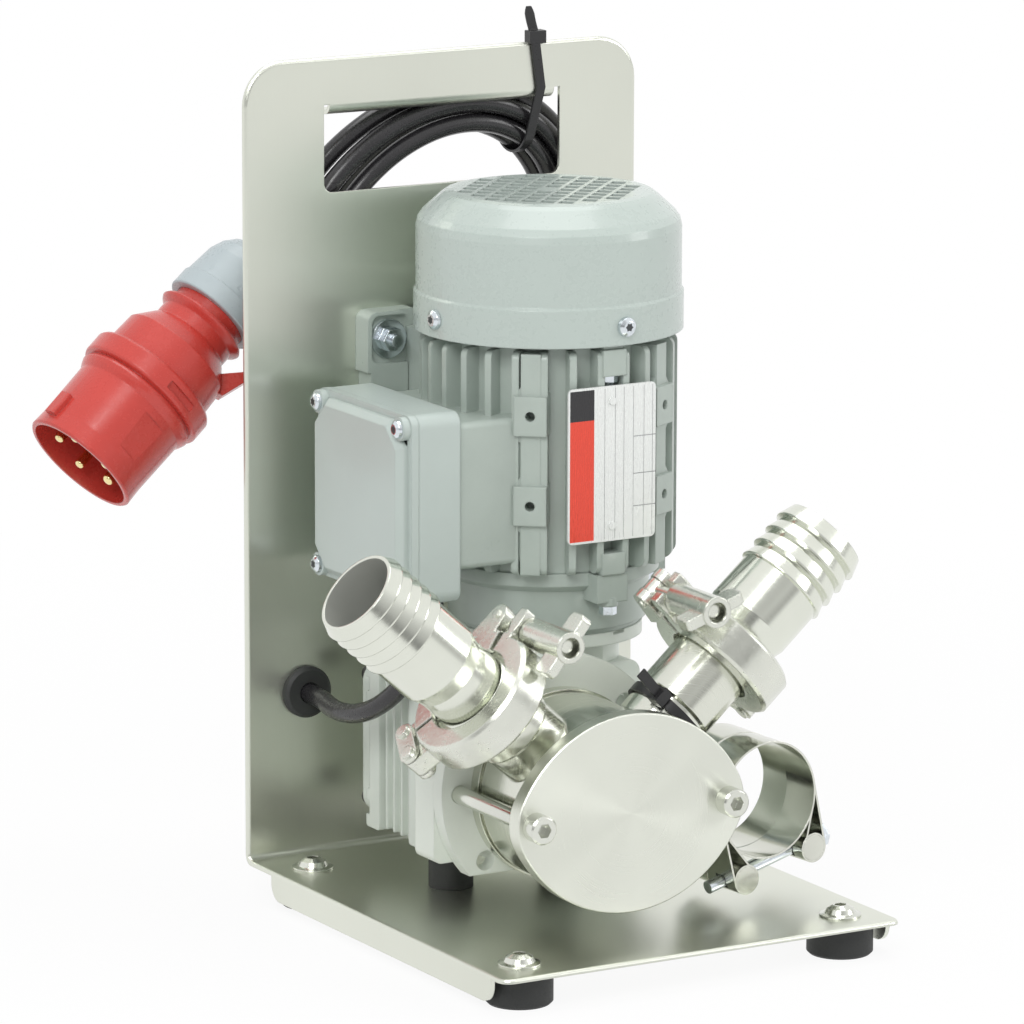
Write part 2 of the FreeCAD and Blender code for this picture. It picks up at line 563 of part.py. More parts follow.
def output_flange():
    """Cast flange between reducer and pump: bell, thick bar for the pump bolts, round plate."""
    back = MOTOR_Y - HUB_HALF_Y
    bar_back = FLANGE_Y + FLANGE_T + BAR_T
    bell = rod(V(0, bar_back, PUMP_Z), Y, BELL_R, back - bar_back)
    bar = rounded_box(-BAR_HALF_X, BAR_HALF_X, FLANGE_Y + FLANGE_T, bar_back,
                      PUMP_Z - BAR_HALF_Z, PUMP_Z + BAR_HALF_Z, 4.0, Y)
    plate = rod(V(0, FLANGE_Y, PUMP_Z), Y, FLANGE_R, FLANGE_T)
    body = fuse([bell, bar, plate])
    low = box(-FLANGE_R - 1, FLANGE_R + 1, FLANGE_Y - 1, bar_back + 1, PUMP_Z - FLANGE_R - 1, PUMP_Z - FLANGE_FLAT)
    tools = [low, rod(V(0, FLANGE_Y - 1, PUMP_Z), Y, WHEEL_BEARING[1] / 2 - 4, back - FLANGE_Y + 2)]
    for x in (-COVER_BOLT_X, COVER_BOLT_X):
        tools.append(rod(V(x, FLANGE_Y - 1, PUMP_Z), Y, BOLT_D / 2 + SEAT, 22))
    for x in (-FLANGE_HOLE_X, FLANGE_HOLE_X):
        for z in (-FLANGE_HOLE_Z, FLANGE_HOLE_Z):
            tools.append(rod(V(x, FLANGE_Y - 1, PUMP_Z + z), Y, FLANGE_HOLE_D / 2, FLANGE_T + BAR_T + 2))
    for p in flange_screw_places():
        tools.append(rod(V(p.x, FLANGE_Y - 1, p.z), Y, 5.5, FLANGE_T + 1))
        tools.append(rod(V(p.x, FLANGE_Y - 1, p.z), Y, 3.0 + GAP, back - FLANGE_Y + 2))
    return cut(body, tools)


def bearing(centre, direction, sizes):
    """Ball bearing drawn as one ring with a groove on each side."""
    bore, outer, width = sizes
    inner_r, outer_r = bore / 2 + RUN, outer / 2
    mid = (inner_r + outer_r) / 2
    h = width / 2
    profile = [(inner_r, -h), (mid - 2, -h), (mid - 2, -h + 1), (mid + 2, -h + 1), (mid + 2, -h), (outer_r, -h),
               (outer_r, h), (mid + 2, h), (mid + 2, h - 1), (mid - 2, h - 1), (mid - 2, h), (inner_r, h)]
    return turned(profile, along(direction, centre))


def ball_bearings():
    """Two bearings each for motor, worm and wheel."""
    w = WHEEL_BEARING[2]
    wheel = [V(0, MOTOR_Y - WHEEL_FACE - w / 2, PUMP_Z), V(0, MOTOR_Y + WHEEL_FACE + 1 + w / 2, PUMP_Z)]
    rings = [bearing(p, Y, WHEEL_BEARING) for p in wheel]
    for z in worm_bearing_heights():
        rings.append(bearing(V(MOTOR_X, MOTOR_Y, z), Z, WORM_BEARING))
    for z in motor_bearing_heights():
        rings.append(bearing(V(MOTOR_X, MOTOR_Y, z), Z, MOTOR_BEARING))
    return group(rings)


def worm_bearing_heights():
    """Middles of the worm's bearings."""
    wheel_tip = WHEEL_TEETH * MODULE / 2 + 0.9 * MODULE
    inner = math.sqrt(wheel_tip ** 2 - (CENTRES - WORM_BEARING[1] / 2) ** 2)
    half = inner + WORM_BEARING[2] / 2 + 0.7
    return (PUMP_Z - half, PUMP_Z + half)


def motor_bearing_heights():
    """Middles of the motor's bearings."""
    return (INPUT_FACE_Z + 12.0, STATOR_Z1 + 4.0)


def helix_thread(pitch_r, lead, starts, length, root_r, tip_r, width):
    """Worm thread: trapezium sections stacked along a helix and lofted as a ruled solid."""
    ridges = []
    turns = length / lead
    steps = max(8, int(turns * 24))
    for start in range(starts):
        sections = []
        for k in range(steps + 1):
            z = -length / 2 + length * k / steps
            a = 2 * math.pi * (z / lead + start / starts)
            out = V(math.cos(a), math.sin(a), 0)
            low, high = width * 0.5 * 1.25, width * 0.5 * 0.72
            corners = [out * root_r + V(0, 0, z - low), out * tip_r + V(0, 0, z - high),
                       out * tip_r + V(0, 0, z + high), out * root_r + V(0, 0, z + low)]
            sections.append(Part.makePolygon(corners + [corners[0]]))
        ridges.append(Part.makeLoft(sections, True, True))
    return ridges


def worm():
    """Hollow three-start worm on the motor shaft."""
    pitch_r = CENTRES - WHEEL_TEETH * MODULE / 2
    pitch = math.pi * MODULE
    lead = pitch * WORM_STARTS
    width = pitch / 2 - TOOTH_PLAY
    root_r, tip_r = pitch_r - 1.2 * MODULE, pitch_r + MODULE * 0.9
    ridges = helix_thread(pitch_r, lead, WORM_STARTS, WORM_L, root_r - 0.3, tip_r, width)
    low, high = worm_bearing_heights()
    seat_r = WORM_BEARING[0] / 2
    b = WORM_BEARING[2] / 2
    profile = [(0, low - b - PUMP_Z), (seat_r, low - b - PUMP_Z), (seat_r, low + b - PUMP_Z),
               (root_r, low + b - PUMP_Z), (root_r, high - b - PUMP_Z), (seat_r, high - b - PUMP_Z),
               (seat_r, INPUT_FACE_Z - 4 - PUMP_Z), (0, INPUT_FACE_Z - 4 - PUMP_Z)]
    body = fuse([turned(profile)] + ridges)
    bore = rod(V(0, 0, INPUT_FACE_Z - 28 - PUMP_Z), Z, 5.5 + SEAT, 30)
    return placed(body.cut(bore), FreeCAD.Placement(V(MOTOR_X, MOTOR_Y, PUMP_Z), FreeCAD.Rotation()))


def worm_wheel():
    """Thirty-tooth wheel with twisted teeth on a spoked hub."""
    pitch_r = WHEEL_TEETH * MODULE / 2
    root_r, tip_r = pitch_r - 1.2 * MODULE, pitch_r + 0.9 * MODULE
    worm_pitch_r = CENTRES - pitch_r
    lead_angle = math.atan(WORM_STARTS * MODULE / (2 * worm_pitch_r))
    twist = -WHEEL_FACE * math.tan(lead_angle) / pitch_r
    half = math.pi * MODULE / 2 - TOOTH_PLAY
    teeth = []
    for k in range(WHEEL_TEETH):
        a0 = 2 * math.pi * k / WHEEL_TEETH
        sections = []
        for end in (-0.5, 0.5):
            a = a0 + twist * end
            out, side = V(math.cos(a), 0, math.sin(a)), V(-math.sin(a), 0, math.cos(a))
            base, tip = half * 0.62, half * 0.34
            y = V(0, WHEEL_FACE * end, 0)
            corners = [out * (root_r - 0.4) - side * base + y, out * tip_r - side * tip + y,
                       out * tip_r + side * tip + y, out * (root_r - 0.4) + side * base + y]
            sections.append(Part.makePolygon(corners + [corners[0]]))
        teeth.append(Part.makeLoft(sections, True, True))
    rim = rod(V(0, -WHEEL_FACE / 2, 0), Y, root_r, WHEEL_FACE)
    hub = rod(V(0, -WHEEL_FACE + 1, 0), Y, WHEEL_HUB_R, 2 * WHEEL_FACE - 2)
    wheel = fuse([rim, hub] + teeth)
    recess = tube(V(0, -WHEEL_FACE / 2 - 1, 0), Y, root_r - 4, WHEEL_HUB_R + 1, 4)
    recess_back = recess.copy()
    recess_back.translate(V(0, WHEEL_FACE - 2, 0))
    bore = rod(V(0, -WHEEL_FACE, 0), Y, OUTPUT_SHAFT_D / 2 + SEAT, 2 * WHEEL_FACE)
    wheel = cut(wheel, [recess, recess_back, bore])
    return placed(wheel, FreeCAD.Placement(V(0, MOTOR_Y, PUMP_Z), FreeCAD.Rotation()))


# Pump

def chamber_front():
    """Front end of the impeller chamber."""
    return COVER_Y + COVER_T


def pump_shaft():
    """Stepped shaft from the worm wheel to the impeller."""
    y_back = MOTOR_Y + WHEEL_FACE + 1 + WHEEL_BEARING[2]
    y_front = MOTOR_Y - WHEEL_FACE - WHEEL_BEARING[2]
    seat_r, mid_r, nose_r = WHEEL_BEARING[0] / 2, OUTPUT_SHAFT_D / 2, 8.0
    start = chamber_front() + 1.0
    shaft = fuse([rod(V(0, MOTOR_Y + WHEEL_FACE + 1, PUMP_Z), Y, seat_r, y_back - MOTOR_Y - WHEEL_FACE - 1),
                  rod(V(0, MOTOR_Y - WHEEL_FACE, PUMP_Z), Y, mid_r, 2 * WHEEL_FACE + 1),
                  rod(V(0, y_front, PUMP_Z), Y, seat_r, MOTOR_Y - WHEEL_FACE - y_front),
                  rod(V(0, start, PUMP_Z), Y, nose_r, y_front - start)])
    return shaft


def impeller():
    """Rubber impeller: hub and six bulb-tipped vanes, drawn at the radius of the cam."""
    y0 = chamber_front() + IMPELLER_PLAY
    length = CHAMBER_DEPTH - 2 * IMPELLER_PLAY
    tip = CAM_R - IMPELLER_PLAY
    pieces = [rod(V(0, y0, PUMP_Z), Y, 15.0, length)]
    for k in range(VANES):
        a = 2 * math.pi * (k + 0.25) / VANES
        vane = fuse([box(12, tip - 2.6, y0, y0 + length, -2.0, 2.0),
                     rod(V(tip - 2.6, y0, 0), Y, 2.6, length)])
        vane.rotate(V(0, 0, 0), Y, math.degrees(a))
        vane.translate(V(0, 0, PUMP_Z))
        pieces.append(vane)
    bore = rod(V(0, y0 - 1, PUMP_Z), Y, 8.0 + SEAT, length + 2)
    return fuse(pieces).cut(bore)


def port_frame(side):
    """Origin on the pump axis, port direction and the direction towards the clamp's bolt."""
    a = math.radians(PORT_ANGLE)
    out = V(side * math.sin(a), 0, math.cos(a))
    inward = V(-side * math.cos(a), 0, math.sin(a))
    return V(0, PORT_Y, PUMP_Z), out, inward


def ferrule_rim(face, sign):
    """Rim of a clamp ferrule as (radius, height) points, thick side away from the face."""
    slope = (FERRULE_R - NECK_R - 1) * math.tan(math.radians(20))
    return [(FERRULE_R, face), (FERRULE_R, face - sign * FERRULE_T),
            (NECK_R + 1, face - sign * (FERRULE_T + slope))]


def pump_body():
    """Barrel with its chamber, cam, seal bore, two welded ports and their ferrules."""
    y_front = chamber_front()
    length = FLANGE_Y - y_front
    barrel = rod(V(0, y_front, PUMP_Z), Y, BARREL_R, length)
    ring = rod(V(0, FLANGE_Y - REAR_RING_T, PUMP_Z), Y, REAR_RING_R, REAR_RING_T)
    body = fuse([barrel, ring])
    groove = tube(V(0, FLANGE_Y - REAR_RING_T - GROOVE_T, PUMP_Z), Y, REAR_RING_R + 2, GROOVE_R, GROOVE_T)
    body = body.cut(groove)
    for side in (-1, 1):
        origin, out, _ = port_frame(side)
        face = FERRULE_FACES[side]
        rim = ferrule_rim(face, 1)
        profile = [(0, BARREL_R - 14), (STUB_R, BARREL_R - 14), (STUB_R, STUB_END), (NECK_R, STUB_END + 1.5),
                   (NECK_R, rim[2][1] - 2)] + rim[::-1] + [(0, face)]
        body = body.fuse(turned(profile, along(out, origin)))
    chamber = rod(V(0, y_front - 1, PUMP_Z), Y, CHAMBER_R, CHAMBER_DEPTH + 1)
    wedge = [V(0, 0, 0), V(-80 * math.tan(math.radians(CAM_HALF_ANGLE)), 0, 80),
             V(80 * math.tan(math.radians(CAM_HALF_ANGLE)), 0, 80)]
    cam_zone = prism([p + V(0, y_front - 1, PUMP_Z) for p in wedge], V(0, CHAMBER_DEPTH + 1, 0))
    cam = tube(V(0, y_front - 1, PUMP_Z), Y, CHAMBER_R + 1, CAM_R, CHAMBER_DEPTH + 1).common(cam_zone)
    body = body.cut(chamber.cut(cam))
    for side in (-1, 1):
        origin, out, _ = port_frame(side)
        body = body.cut(rod(origin + out * 20, out, STUB_BORE_R, FERRULE_FACES[side]))
    seal_bore = rod(V(0, y_front, PUMP_Z), Y, 13.0, length + 1)
    oring = rod(V(0, y_front - 1, PUMP_Z), Y, ORING_R + ORING_T / 2 + SEAT, ORING_T)
    keep = rod(V(0, y_front - 1, PUMP_Z), Y, ORING_R - ORING_T / 2 - SEAT, ORING_T)
    return cut(body, [seal_bore, oring.cut(keep)])


def cover_o_ring():
    """Square-cut seal ring between barrel and cover."""
    y_front = chamber_front()
    return tube(V(0, y_front, PUMP_Z), Y, ORING_R + ORING_T / 2, ORING_R - ORING_T / 2, ORING_T - 1)


def shaft_seal():
    """Lip seal in the pump's rear wall."""
    y0 = chamber_front() + CHAMBER_DEPTH + 2
    return turned([(8.0 + RUN, 0), (9.2, 0), (9.2, 4), (11.0, 4), (11.0, 0), (13.0 - SEAT, 0), (13.0 - SEAT, 7),
                   (8.0 + RUN, 7)], along(Y, V(0, y0, PUMP_Z)))


def oval_outline(y):
    """Four-arc oval of the pump cover."""
    a, b, r = COVER_HALF_X, COVER_HALF_Z, COVER_END_R
    d = a - r
    c = (d * d - (b - r) ** 2) / (2 * (b - r))
    big = b + c
    k = big / math.hypot(d, c)
    jx, jz = d * k, c * k - c

    def point(px, pz):
        return V(px, y, PUMP_Z + pz)

    arcs = [Part.Arc(point(-jx, jz), point(0, b), point(jx, jz)), Part.Arc(point(jx, jz), point(a, 0), point(jx, -jz)),
            Part.Arc(point(jx, -jz), point(0, -b), point(-jx, -jz)),
            Part.Arc(point(-jx, -jz), point(-a, 0), point(-jx, jz))]
    return Part.Wire([arc.toShape() for arc in arcs])


def pump_cover():
    """Oval front cover with a small edge chamfer."""
    cover = Part.Face(oval_outline(COVER_Y)).extrude(V(0, COVER_T, 0))
    front = [e for e in cover.Edges if abs(e.CenterOfMass.y - COVER_Y) < 0.01]
    cover = cover.makeChamfer(0.5, front)
    return cut(cover, [rod(V(x, COVER_Y - 1, PUMP_Z), Y, BOLT_D / 2 + GAP, COVER_T + 2)
                       for x in (-COVER_BOLT_X, COVER_BOLT_X)])


def socket_bolt(seat, direction, diameter, length, head_d, head_h, key):
    """Cylinder-head bolt: the head stands on the seat, the shank runs along the direction."""
    head = rod(V(0, 0, -head_h), Z, head_d / 2, head_h)
    crown = [e for e in head.Edges if abs(e.CenterOfMass.z + head_h) < 0.01 and e.Length > head_d * 2]
    head = head.makeChamfer(head_d * 0.06, crown)
    bolt = fuse([head, rod(V(0, 0, 0), Z, diameter / 2, length)])
    bolt = bolt.cut(hexagon(key, head_h * 0.55, V(0, 0, -head_h), Z))
    return placed(bolt, along(direction, seat))


def pump_cover_bolts():
    """Two long bolts beside the barrel."""
    length = COVER_FRONT - FLANGE_FRONT + 18
    return group([socket_bolt(V(x, COVER_Y, PUMP_Z), Y, BOLT_D, length, BOLT_HEAD_D, BOLT_HEAD_H, BOLT_KEY)
                  for x in (-COVER_BOLT_X, COVER_BOLT_X)])


def hose_tail(side):
    """Turned hose tail: ferrule, neck, cone, plain length and barbs."""
    face = FERRULE_FACES[side] + GASKET_T
    rim = ferrule_rim(face, -1)
    end, barbs = TAIL_ENDS[side], BARBS[side]
    pitch = (end - TAIL_BARB_START) / barbs
    root = TAIL_BODY_R - BARB_ROOT
    outer = [(TAIL_NECK_R, rim[2][1] + 1.2), (TAIL_NECK_R, TAIL_NECK_END), (TAIL_BODY_R, TAIL_CONE_END),
             (TAIL_BODY_R, TAIL_BARB_START)]
    for k in range(barbs):
        s = TAIL_BARB_START + k * pitch
        outer += [(TAIL_BARB_R, s + 0.4), (TAIL_BARB_R, s + 1.1), (root, s + pitch)]
    inner = [(root - TAIL_WALL, end), (root - TAIL_WALL, TAIL_CONE_END + 1),
             (TAIL_NECK_R - TAIL_WALL, TAIL_NECK_END), (TAIL_NECK_R - TAIL_WALL, face)]
    origin, out, _ = port_frame(side)
    return turned(rim + outer + inner, along(out, origin))


def port_gaskets():
    """Flat seal rings between the ferrules."""
    rings = []
    for side in (-1, 1):
        origin, out, _ = port_frame(side)
        rings.append(tube(origin + out * FERRULE_FACES[side], out, FERRULE_R - 0.4, STUB_BORE_R + 1, GASKET_T))
    return group(rings)


# Port clamps, drawn in local axes: p towards the bolt, q backwards, r along the port

def clamp_placement(side):
    """Placement of a clamp on one port."""
    origin, out, inward = port_frame(side)
    centre = origin + out * (FERRULE_FACES[side] + GASKET_T / 2)
    along_port = out if side < 0 else out * -1
    return frame_at(centre, inward, Y, along_port)


def sector(a0, a1, reach, half_height):
    """Wedge about local Z between two directions in degrees."""
    steps = max(2, int((a1 - a0) / 40) + 1)
    rim = [V(reach * math.cos(math.radians(a0 + (a1 - a0) * k / steps)),
             reach * math.sin(math.radians(a0 + (a1 - a0) * k / steps)), -half_height) for k in range(steps + 1)]
    return prism([V(0, 0, -half_height)] + rim, V(0, 0, 2 * half_height))


def clamp_ring(a0, a1):
    """Part of the clamp ring with its V-groove, between two directions."""
    floor = FERRULE_R + GAP
    mouth = GASKET_T / 2 + FERRULE_T + GAP
    slope = math.tan(math.radians(20)) * (floor - CLAMP_LIP_R)
    profile = [(CLAMP_R - 1.5, -CLAMP_HALF), (CLAMP_R, -CLAMP_HALF + 1.5), (CLAMP_R, CLAMP_HALF - 1.5),
               (CLAMP_R - 1.5, CLAMP_HALF), (CLAMP_LIP_R, CLAMP_HALF), (CLAMP_LIP_R, mouth + slope), (floor, mouth),
               (floor, -mouth), (CLAMP_LIP_R, -mouth - slope), (CLAMP_LIP_R, -CLAMP_HALF)]
    return turned(profile).common(sector(a0, a1, 70, 20))


def link_ear(side):
    """Narrow ear beside the split, with its rivet hole; side is 1 at the back, -1 at the front."""
    q = -side * LINK_SPAN / 2
    half = CLAMP_HALF - LINK_T - GAP - 1.5
    ear = fuse([rod(V(LINK_R, q, -half), Z, LINK_W / 2, 2 * half),
                box(CLAMP_R - 5, LINK_R, q - LINK_W / 2, q + LINK_W / 2, -half, half)])
    ear = ear.cut(rod(V(LINK_R, q, -20), Z, PIN_R, 40))
    ear.rotate(V(0, 0, 0), Z, CLAMP_SPLIT)
    return ear.cut(rod(V(0, 0, -20), Z, FERRULE_R + 2.5, 40))


def clamp_rear_half():
    """Rear half: fork with the eye bolt's pivot pin, and an ear for the link."""
    p, q = CLAMP_BOLT_P, CLAMP_PIVOT_Q
    cheek = fuse([rod(V(p, q, -CLAMP_HALF), Z, 5.5, 2 * CLAMP_HALF),
                  prism([V(22, q + 9, -CLAMP_HALF), V(p, q + 5.5, -CLAMP_HALF), V(p, q - 5.5, -CLAMP_HALF),
                         V(26, q - 7, -CLAMP_HALF)], V(0, 0, 2 * CLAMP_HALF))])
    hollow = rod(V(0, 0, -20), Z, FERRULE_R + 2.5, 40)
    gap = EYE_T / 2 + GAP
    slot = box(p - EYE_R - 1.5, p + 10, q - 14, q + 14, -gap, gap)
    pin = rod(V(p, q, -CLAMP_HALF - 1), Z, PIN_R - SEAT, 2 * CLAMP_HALF + 2)
    half = fuse([clamp_ring(14, CLAMP_SPLIT - 2), cheek.cut(hollow), link_ear(1)])
    return fuse([half.cut(slot), pin])


def clamp_front_half():
    """Front half: slotted ear with a curved seat for the wing nut, and an ear for the link."""
    p, q, reach = CLAMP_BOLT_P, CLAMP_PIVOT_Q, EAR_REACH
    block = prism([V(24, -3, -CLAMP_HALF), V(24, q - reach - 5, -CLAMP_HALF), V(p + 7, q - reach - 3, -CLAMP_HALF),
                   V(p + 7, q - reach + 6, -CLAMP_HALF), V(p, q - reach + 7, -CLAMP_HALF), V(26, -2, -CLAMP_HALF)],
                  V(0, 0, 2 * CLAMP_HALF))
    block = block.common(rod(V(p, q, -20), Z, reach, 40))
    block = block.cut(rod(V(0, 0, -20), Z, FERRULE_R + 2.5, 40))
    slot = box(p - EYE_D / 2 - 1.2, p + 12, -40, 20, -EYE_D / 2 - GAP, EYE_D / 2 + GAP)
    nut_room = box(p - NUT_R - 0.8, p + 12, -60, q - reach, -20, 20)
    half = fuse([clamp_ring(CLAMP_SPLIT + 2, 366), block, link_ear(-1)])
    return cut(half, [slot, nut_room])


def clamp_link():
    """Two link plates with their two rivets."""
    inner = CLAMP_HALF - LINK_T - 1.5
    pieces = []
    for low in (inner, -inner - LINK_T):
        pieces.append(box(LINK_R - LINK_W / 2, LINK_R + LINK_W / 2, -LINK_SPAN / 2, LINK_SPAN / 2, low, low + LINK_T))
        pieces += [rod(V(LINK_R, y, low), Z, LINK_W / 2, LINK_T) for y in (-LINK_SPAN / 2, LINK_SPAN / 2)]
    for y in (-LINK_SPAN / 2, LINK_SPAN / 2):
        pieces.append(rod(V(LINK_R, y, -inner - LINK_T - 1), Z, PIN_R - SEAT, 2 * (inner + LINK_T + 1)))
        pieces += [rod(V(LINK_R, y, low), Z, 3.2, 1.4) for low in (inner + LINK_T - 0.1, -inner - LINK_T - 1.3)]
    link = fuse(pieces)
    link.rotate(V(0, 0, 0), Z, CLAMP_SPLIT)
    return link


def clamp_eye_bolt():
    """Eye bolt about its pivot, shank forwards through the slotted ear."""
    p, q = CLAMP_BOLT_P, CLAMP_PIVOT_Q
    eye = rod(V(p, q, -EYE_T / 2), Z, EYE_R, EYE_T)
    shank = rod(V(p, q, 0), -Y, EYE_D / 2, EAR_REACH + NUT_L - 3)
    hole = rod(V(p, q, -10), Z, PIN_R - SEAT + RUN, 20)
    return fuse([eye, shank]).cut(hole)


def clamp_wing_nut(side):
    """Long barrel nut with two wings and an open end; side says how far it is turned."""
    p, q = CLAMP_BOLT_P, CLAMP_PIVOT_Q
    start = q - EAR_REACH - GAP
    barrel = rod(V(p, start, 0), -Y, NUT_R, NUT_L)
    wings = []
    wing_y = start - NUT_L + 1
    for hand in (-1, 1):
        a, b = sorted((hand * (NUT_R - 2), hand * WING_REACH))
        wing = box(a, b, wing_y, wing_y + WING_L, -WING_T / 2, WING_T / 2)
        tip = [e for e in wing.Edges if e.tangentAt(0).cross(Z).Length < 1e-6
               and abs(abs(e.CenterOfMass.x) - WING_REACH) < 0.1]
        wings.append(wing.makeFillet(3.0, tip))
    turn = FreeCAD.Placement(V(p, 0, 0), FreeCAD.Rotation(Y, WING_TURNS[side]))
    body = fuse([barrel] + [placed(wing, turn) for wing in wings])
    bore = rod(V(p, start + 1, 0), -Y, EYE_D / 2 + RUN, NUT_L)
    mouth = rod(V(p, start - NUT_L + 9, 0), -Y, NUT_BORE_R, 20)
    return cut(body, [bore, mouth])


# Motor

def radial_fins(z0, z1, skip):
    """Upright cooling fins with rounded ends, left out where skip says."""
    plain = box(STATOR_CORE_R - 1, FIN_R, -FIN_T / 2, FIN_T / 2, z0, z1)
    ends = [e for e in plain.Edges if e.CenterOfMass.x > FIN_R - 0.1 and e.tangentAt(0).cross(Y).Length < 1e-6]
    plain = plain.makeFillet(FIN_END_R, ends)
    fins = []
    for k in range(FIN_COUNT):
        angle = 360.0 * (k + 0.5) / FIN_COUNT
        if not skip(angle):
            fins.append(on_motor(plain.copy(), angle))
    return fins


def on_motor(shape, angle):
    """Shape drawn along +X from the motor axis, turned to its direction and moved there."""
    shape.rotate(V(0, 0, 0), Z, angle)
    shape.translate(V(MOTOR_X, MOTOR_Y, 0))
    return shape


def fin_hidden(angle):
    """True where columns, lugs or the back of the motor take the fins' place."""
    taken = COLUMN_ANGLES + (-90.0, 0.0)
    near = any(abs((angle - other + 180) % 360 - 180) < 5.5 for other in taken)
    return near or 60 < angle < 120


def housing_columns():
    """Upright ribs with two tapped, gabled blocks each."""
    shapes, holes = [], []
    for angle in COLUMN_ANGLES:
        shapes.append(on_motor(box(STATOR_CORE_R - 1, FIN_R, -COLUMN_HALF, COLUMN_HALF, STATOR_Z0 + 1, STATOR_Z1 - 1),
                               angle))
        for h in (FOOT_BOLT_LOW + 18, FOOT_BOLT_HIGH - 21):
            low, high = BASE_TOP + h - BLOCK_L / 2, BASE_TOP + h + BLOCK_L / 2
            outline = [V(STATOR_CORE_R - 1, -BLOCK_HALF, low), V(STATOR_CORE_R - 1, 0, low - GABLE),
                       V(STATOR_CORE_R - 1, BLOCK_HALF, low), V(STATOR_CORE_R - 1, BLOCK_HALF, high),
                       V(STATOR_CORE_R - 1, 0, high + GABLE), V(STATOR_CORE_R - 1, -BLOCK_HALF, high)]
            gable = prism(outline, V(FIN_R - STATOR_CORE_R + 0.6, 0, 0))
            block = box(STATOR_CORE_R - 1, FIN_R + 2, -BLOCK_HALF, BLOCK_HALF, low, high)
            shapes.append(on_motor(gable.fuse(block), angle))
            holes.append(on_motor(rod(V(FIN_R + 3, 0, BASE_TOP + h), -X, 2.2, 10), angle))
    return shapes, holes


def motor_housing():
    """Finned stator housing with columns, lugs, foot pads and the neck that carries the terminal box."""
    at = V(MOTOR_X, MOTOR_Y, 0)
    core = rod(at + V(0, 0, STATOR_Z0), Z, STATOR_CORE_R, STATOR_Z1 - STATOR_Z0)
    shapes, holes = housing_columns()
    low, high = BASE_TOP + SADDLE_LOW, BASE_TOP + SADDLE_HIGH
    half = BOX_HALF - 1.5
    saddle = rounded_box(MOTOR_X - BOX_ROOT, MOTOR_X - 30, MOTOR_Y - half, MOTOR_Y + half, low, high, 3.0, X)
    room = box(MOTOR_X - BOX_ROOT + 3, MOTOR_X - STATOR_CORE_R - 2, MOTOR_Y - 28, MOTOR_Y + 28, low + 5, high - 5)
    holes += [room, rod(V(MOTOR_X - BOX_ROOT - 1, MOTOR_Y, BASE_TOP + BOX_H), X, 9.0, BOX_ROOT - 30)]
    pads = []
    for side in (-1, 1):
        a, b = sorted((MOTOR_X + side * FOOT_INNER_X, MOTOR_X + side * 44))
        pads.append(box(a, b, MOTOR_Y + 20, BACK_Y - FOOT_PAD_T, STATOR_Z0 + 4, STATOR_Z1 - 3))
    for angle in lug_angles():
        for z0, z1 in ((STATOR_Z1 - 12, STATOR_Z1), (STATOR_Z0, STATOR_Z0 + 10)):
            shapes.append(on_motor(box(STATOR_CORE_R - 2, FIN_R + 0.5, -6, 6, z0, z1), angle))
        stud = LUG_STUD_D / 2 + SEAT
        holes.append(on_motor(rod(V(LUG_STUD_AT, 0, STATOR_Z1 - 13), Z, stud, 14), angle))
        holes.append(on_motor(rod(V(LUG_STUD_AT, 0, STATOR_Z0 - 1), Z, stud, 10), angle))
    fins = radial_fins(STATOR_Z0 + 0.5, STATOR_Z1 - 0.5, fin_hidden)
    body = fuse([core, saddle] + fins + shapes + pads)
    bore = rod(at + V(0, 0, STATOR_Z0 - 1), Z, STATOR_BORE_R, STATOR_Z1 - STATOR_Z0 + 2)
    return cut(body, [bore] + holes)


def shield_screws():
    """Studs with nuts under the upper lugs and hexagon screws under the lower ones."""
    screws = []
    r = LUG_STUD_D / 2
    for angle in lug_angles():
        top = STATOR_Z1 - 12
        upper = fuse([rod(V(LUG_STUD_AT, 0, top - 7), Z, r, 12 + 7 + 5),
                      hexagon(LUG_NUT_AF, 3.2, V(LUG_STUD_AT, 0, top - 3.2), Z)])
        low = STATOR_Z0 - LUG_DROP
        lower = fuse([rod(V(LUG_STUD_AT, 0, low), Z, r, LUG_DROP + 8),
                      hexagon(LUG_NUT_AF, 4.0, V(LUG_STUD_AT, 0, low - 4), Z)])
        screws += [on_motor(upper, angle), on_motor(lower, angle)]
    return group(screws)


def motor_feet():
    """Two bolted-on feet against the back plate: a raised rail round two recessed bolt seats."""
    feet = []
    z0, z1 = BASE_TOP + FOOT_BOLT_LOW - 13, BASE_TOP + FOOT_BOLT_HIGH + 13
    face = BACK_Y - FOOT_PAD_T
    for side in (-1, 1):
        outer = MOTOR_X + side * (FOOT_BOLT_X + 12)
        a, b = sorted((MOTOR_X + side * FOOT_INNER_X, outer))
        foot = rounded_box(a, b, face, BACK_Y, z0, z1, 5.0, Y)
        c, d = sorted((MOTOR_X + side * FOOT_RAIL_X, outer))
        foot = foot.fuse(rounded_box(c, d, face - FOOT_RAIL_T, BACK_Y, z0, z1, 5.0, Y))
        waist = box(*sorted((outer - side * 1.6, outer + side)), face - FOOT_RAIL_T - 1, BACK_Y + 1,
                    z0 + FOOT_PAD_W + 2, z1 - FOOT_PAD_W - 2)
        tools = [waist]
        for h in (FOOT_BOLT_LOW, FOOT_BOLT_HIGH):
            at = V(MOTOR_X + side * FOOT_BOLT_X, face - 1, BASE_TOP + h)
            tools.append(rod(at, Y, FOOT_BOLT_D / 2 + GAP, FOOT_PAD_T + 2))
            p, q = sorted((MOTOR_X + side * (FOOT_RAIL_X - 8), outer - side * FOOT_RAIL_W * 0.5))
            tools.append(rounded_box(p, q, face - FOOT_RAIL_T - 1, face, at.z - 11.2, at.z + 11.2, 4.0, Y))
        feet.append(cut(foot, tools))
    return group(feet)


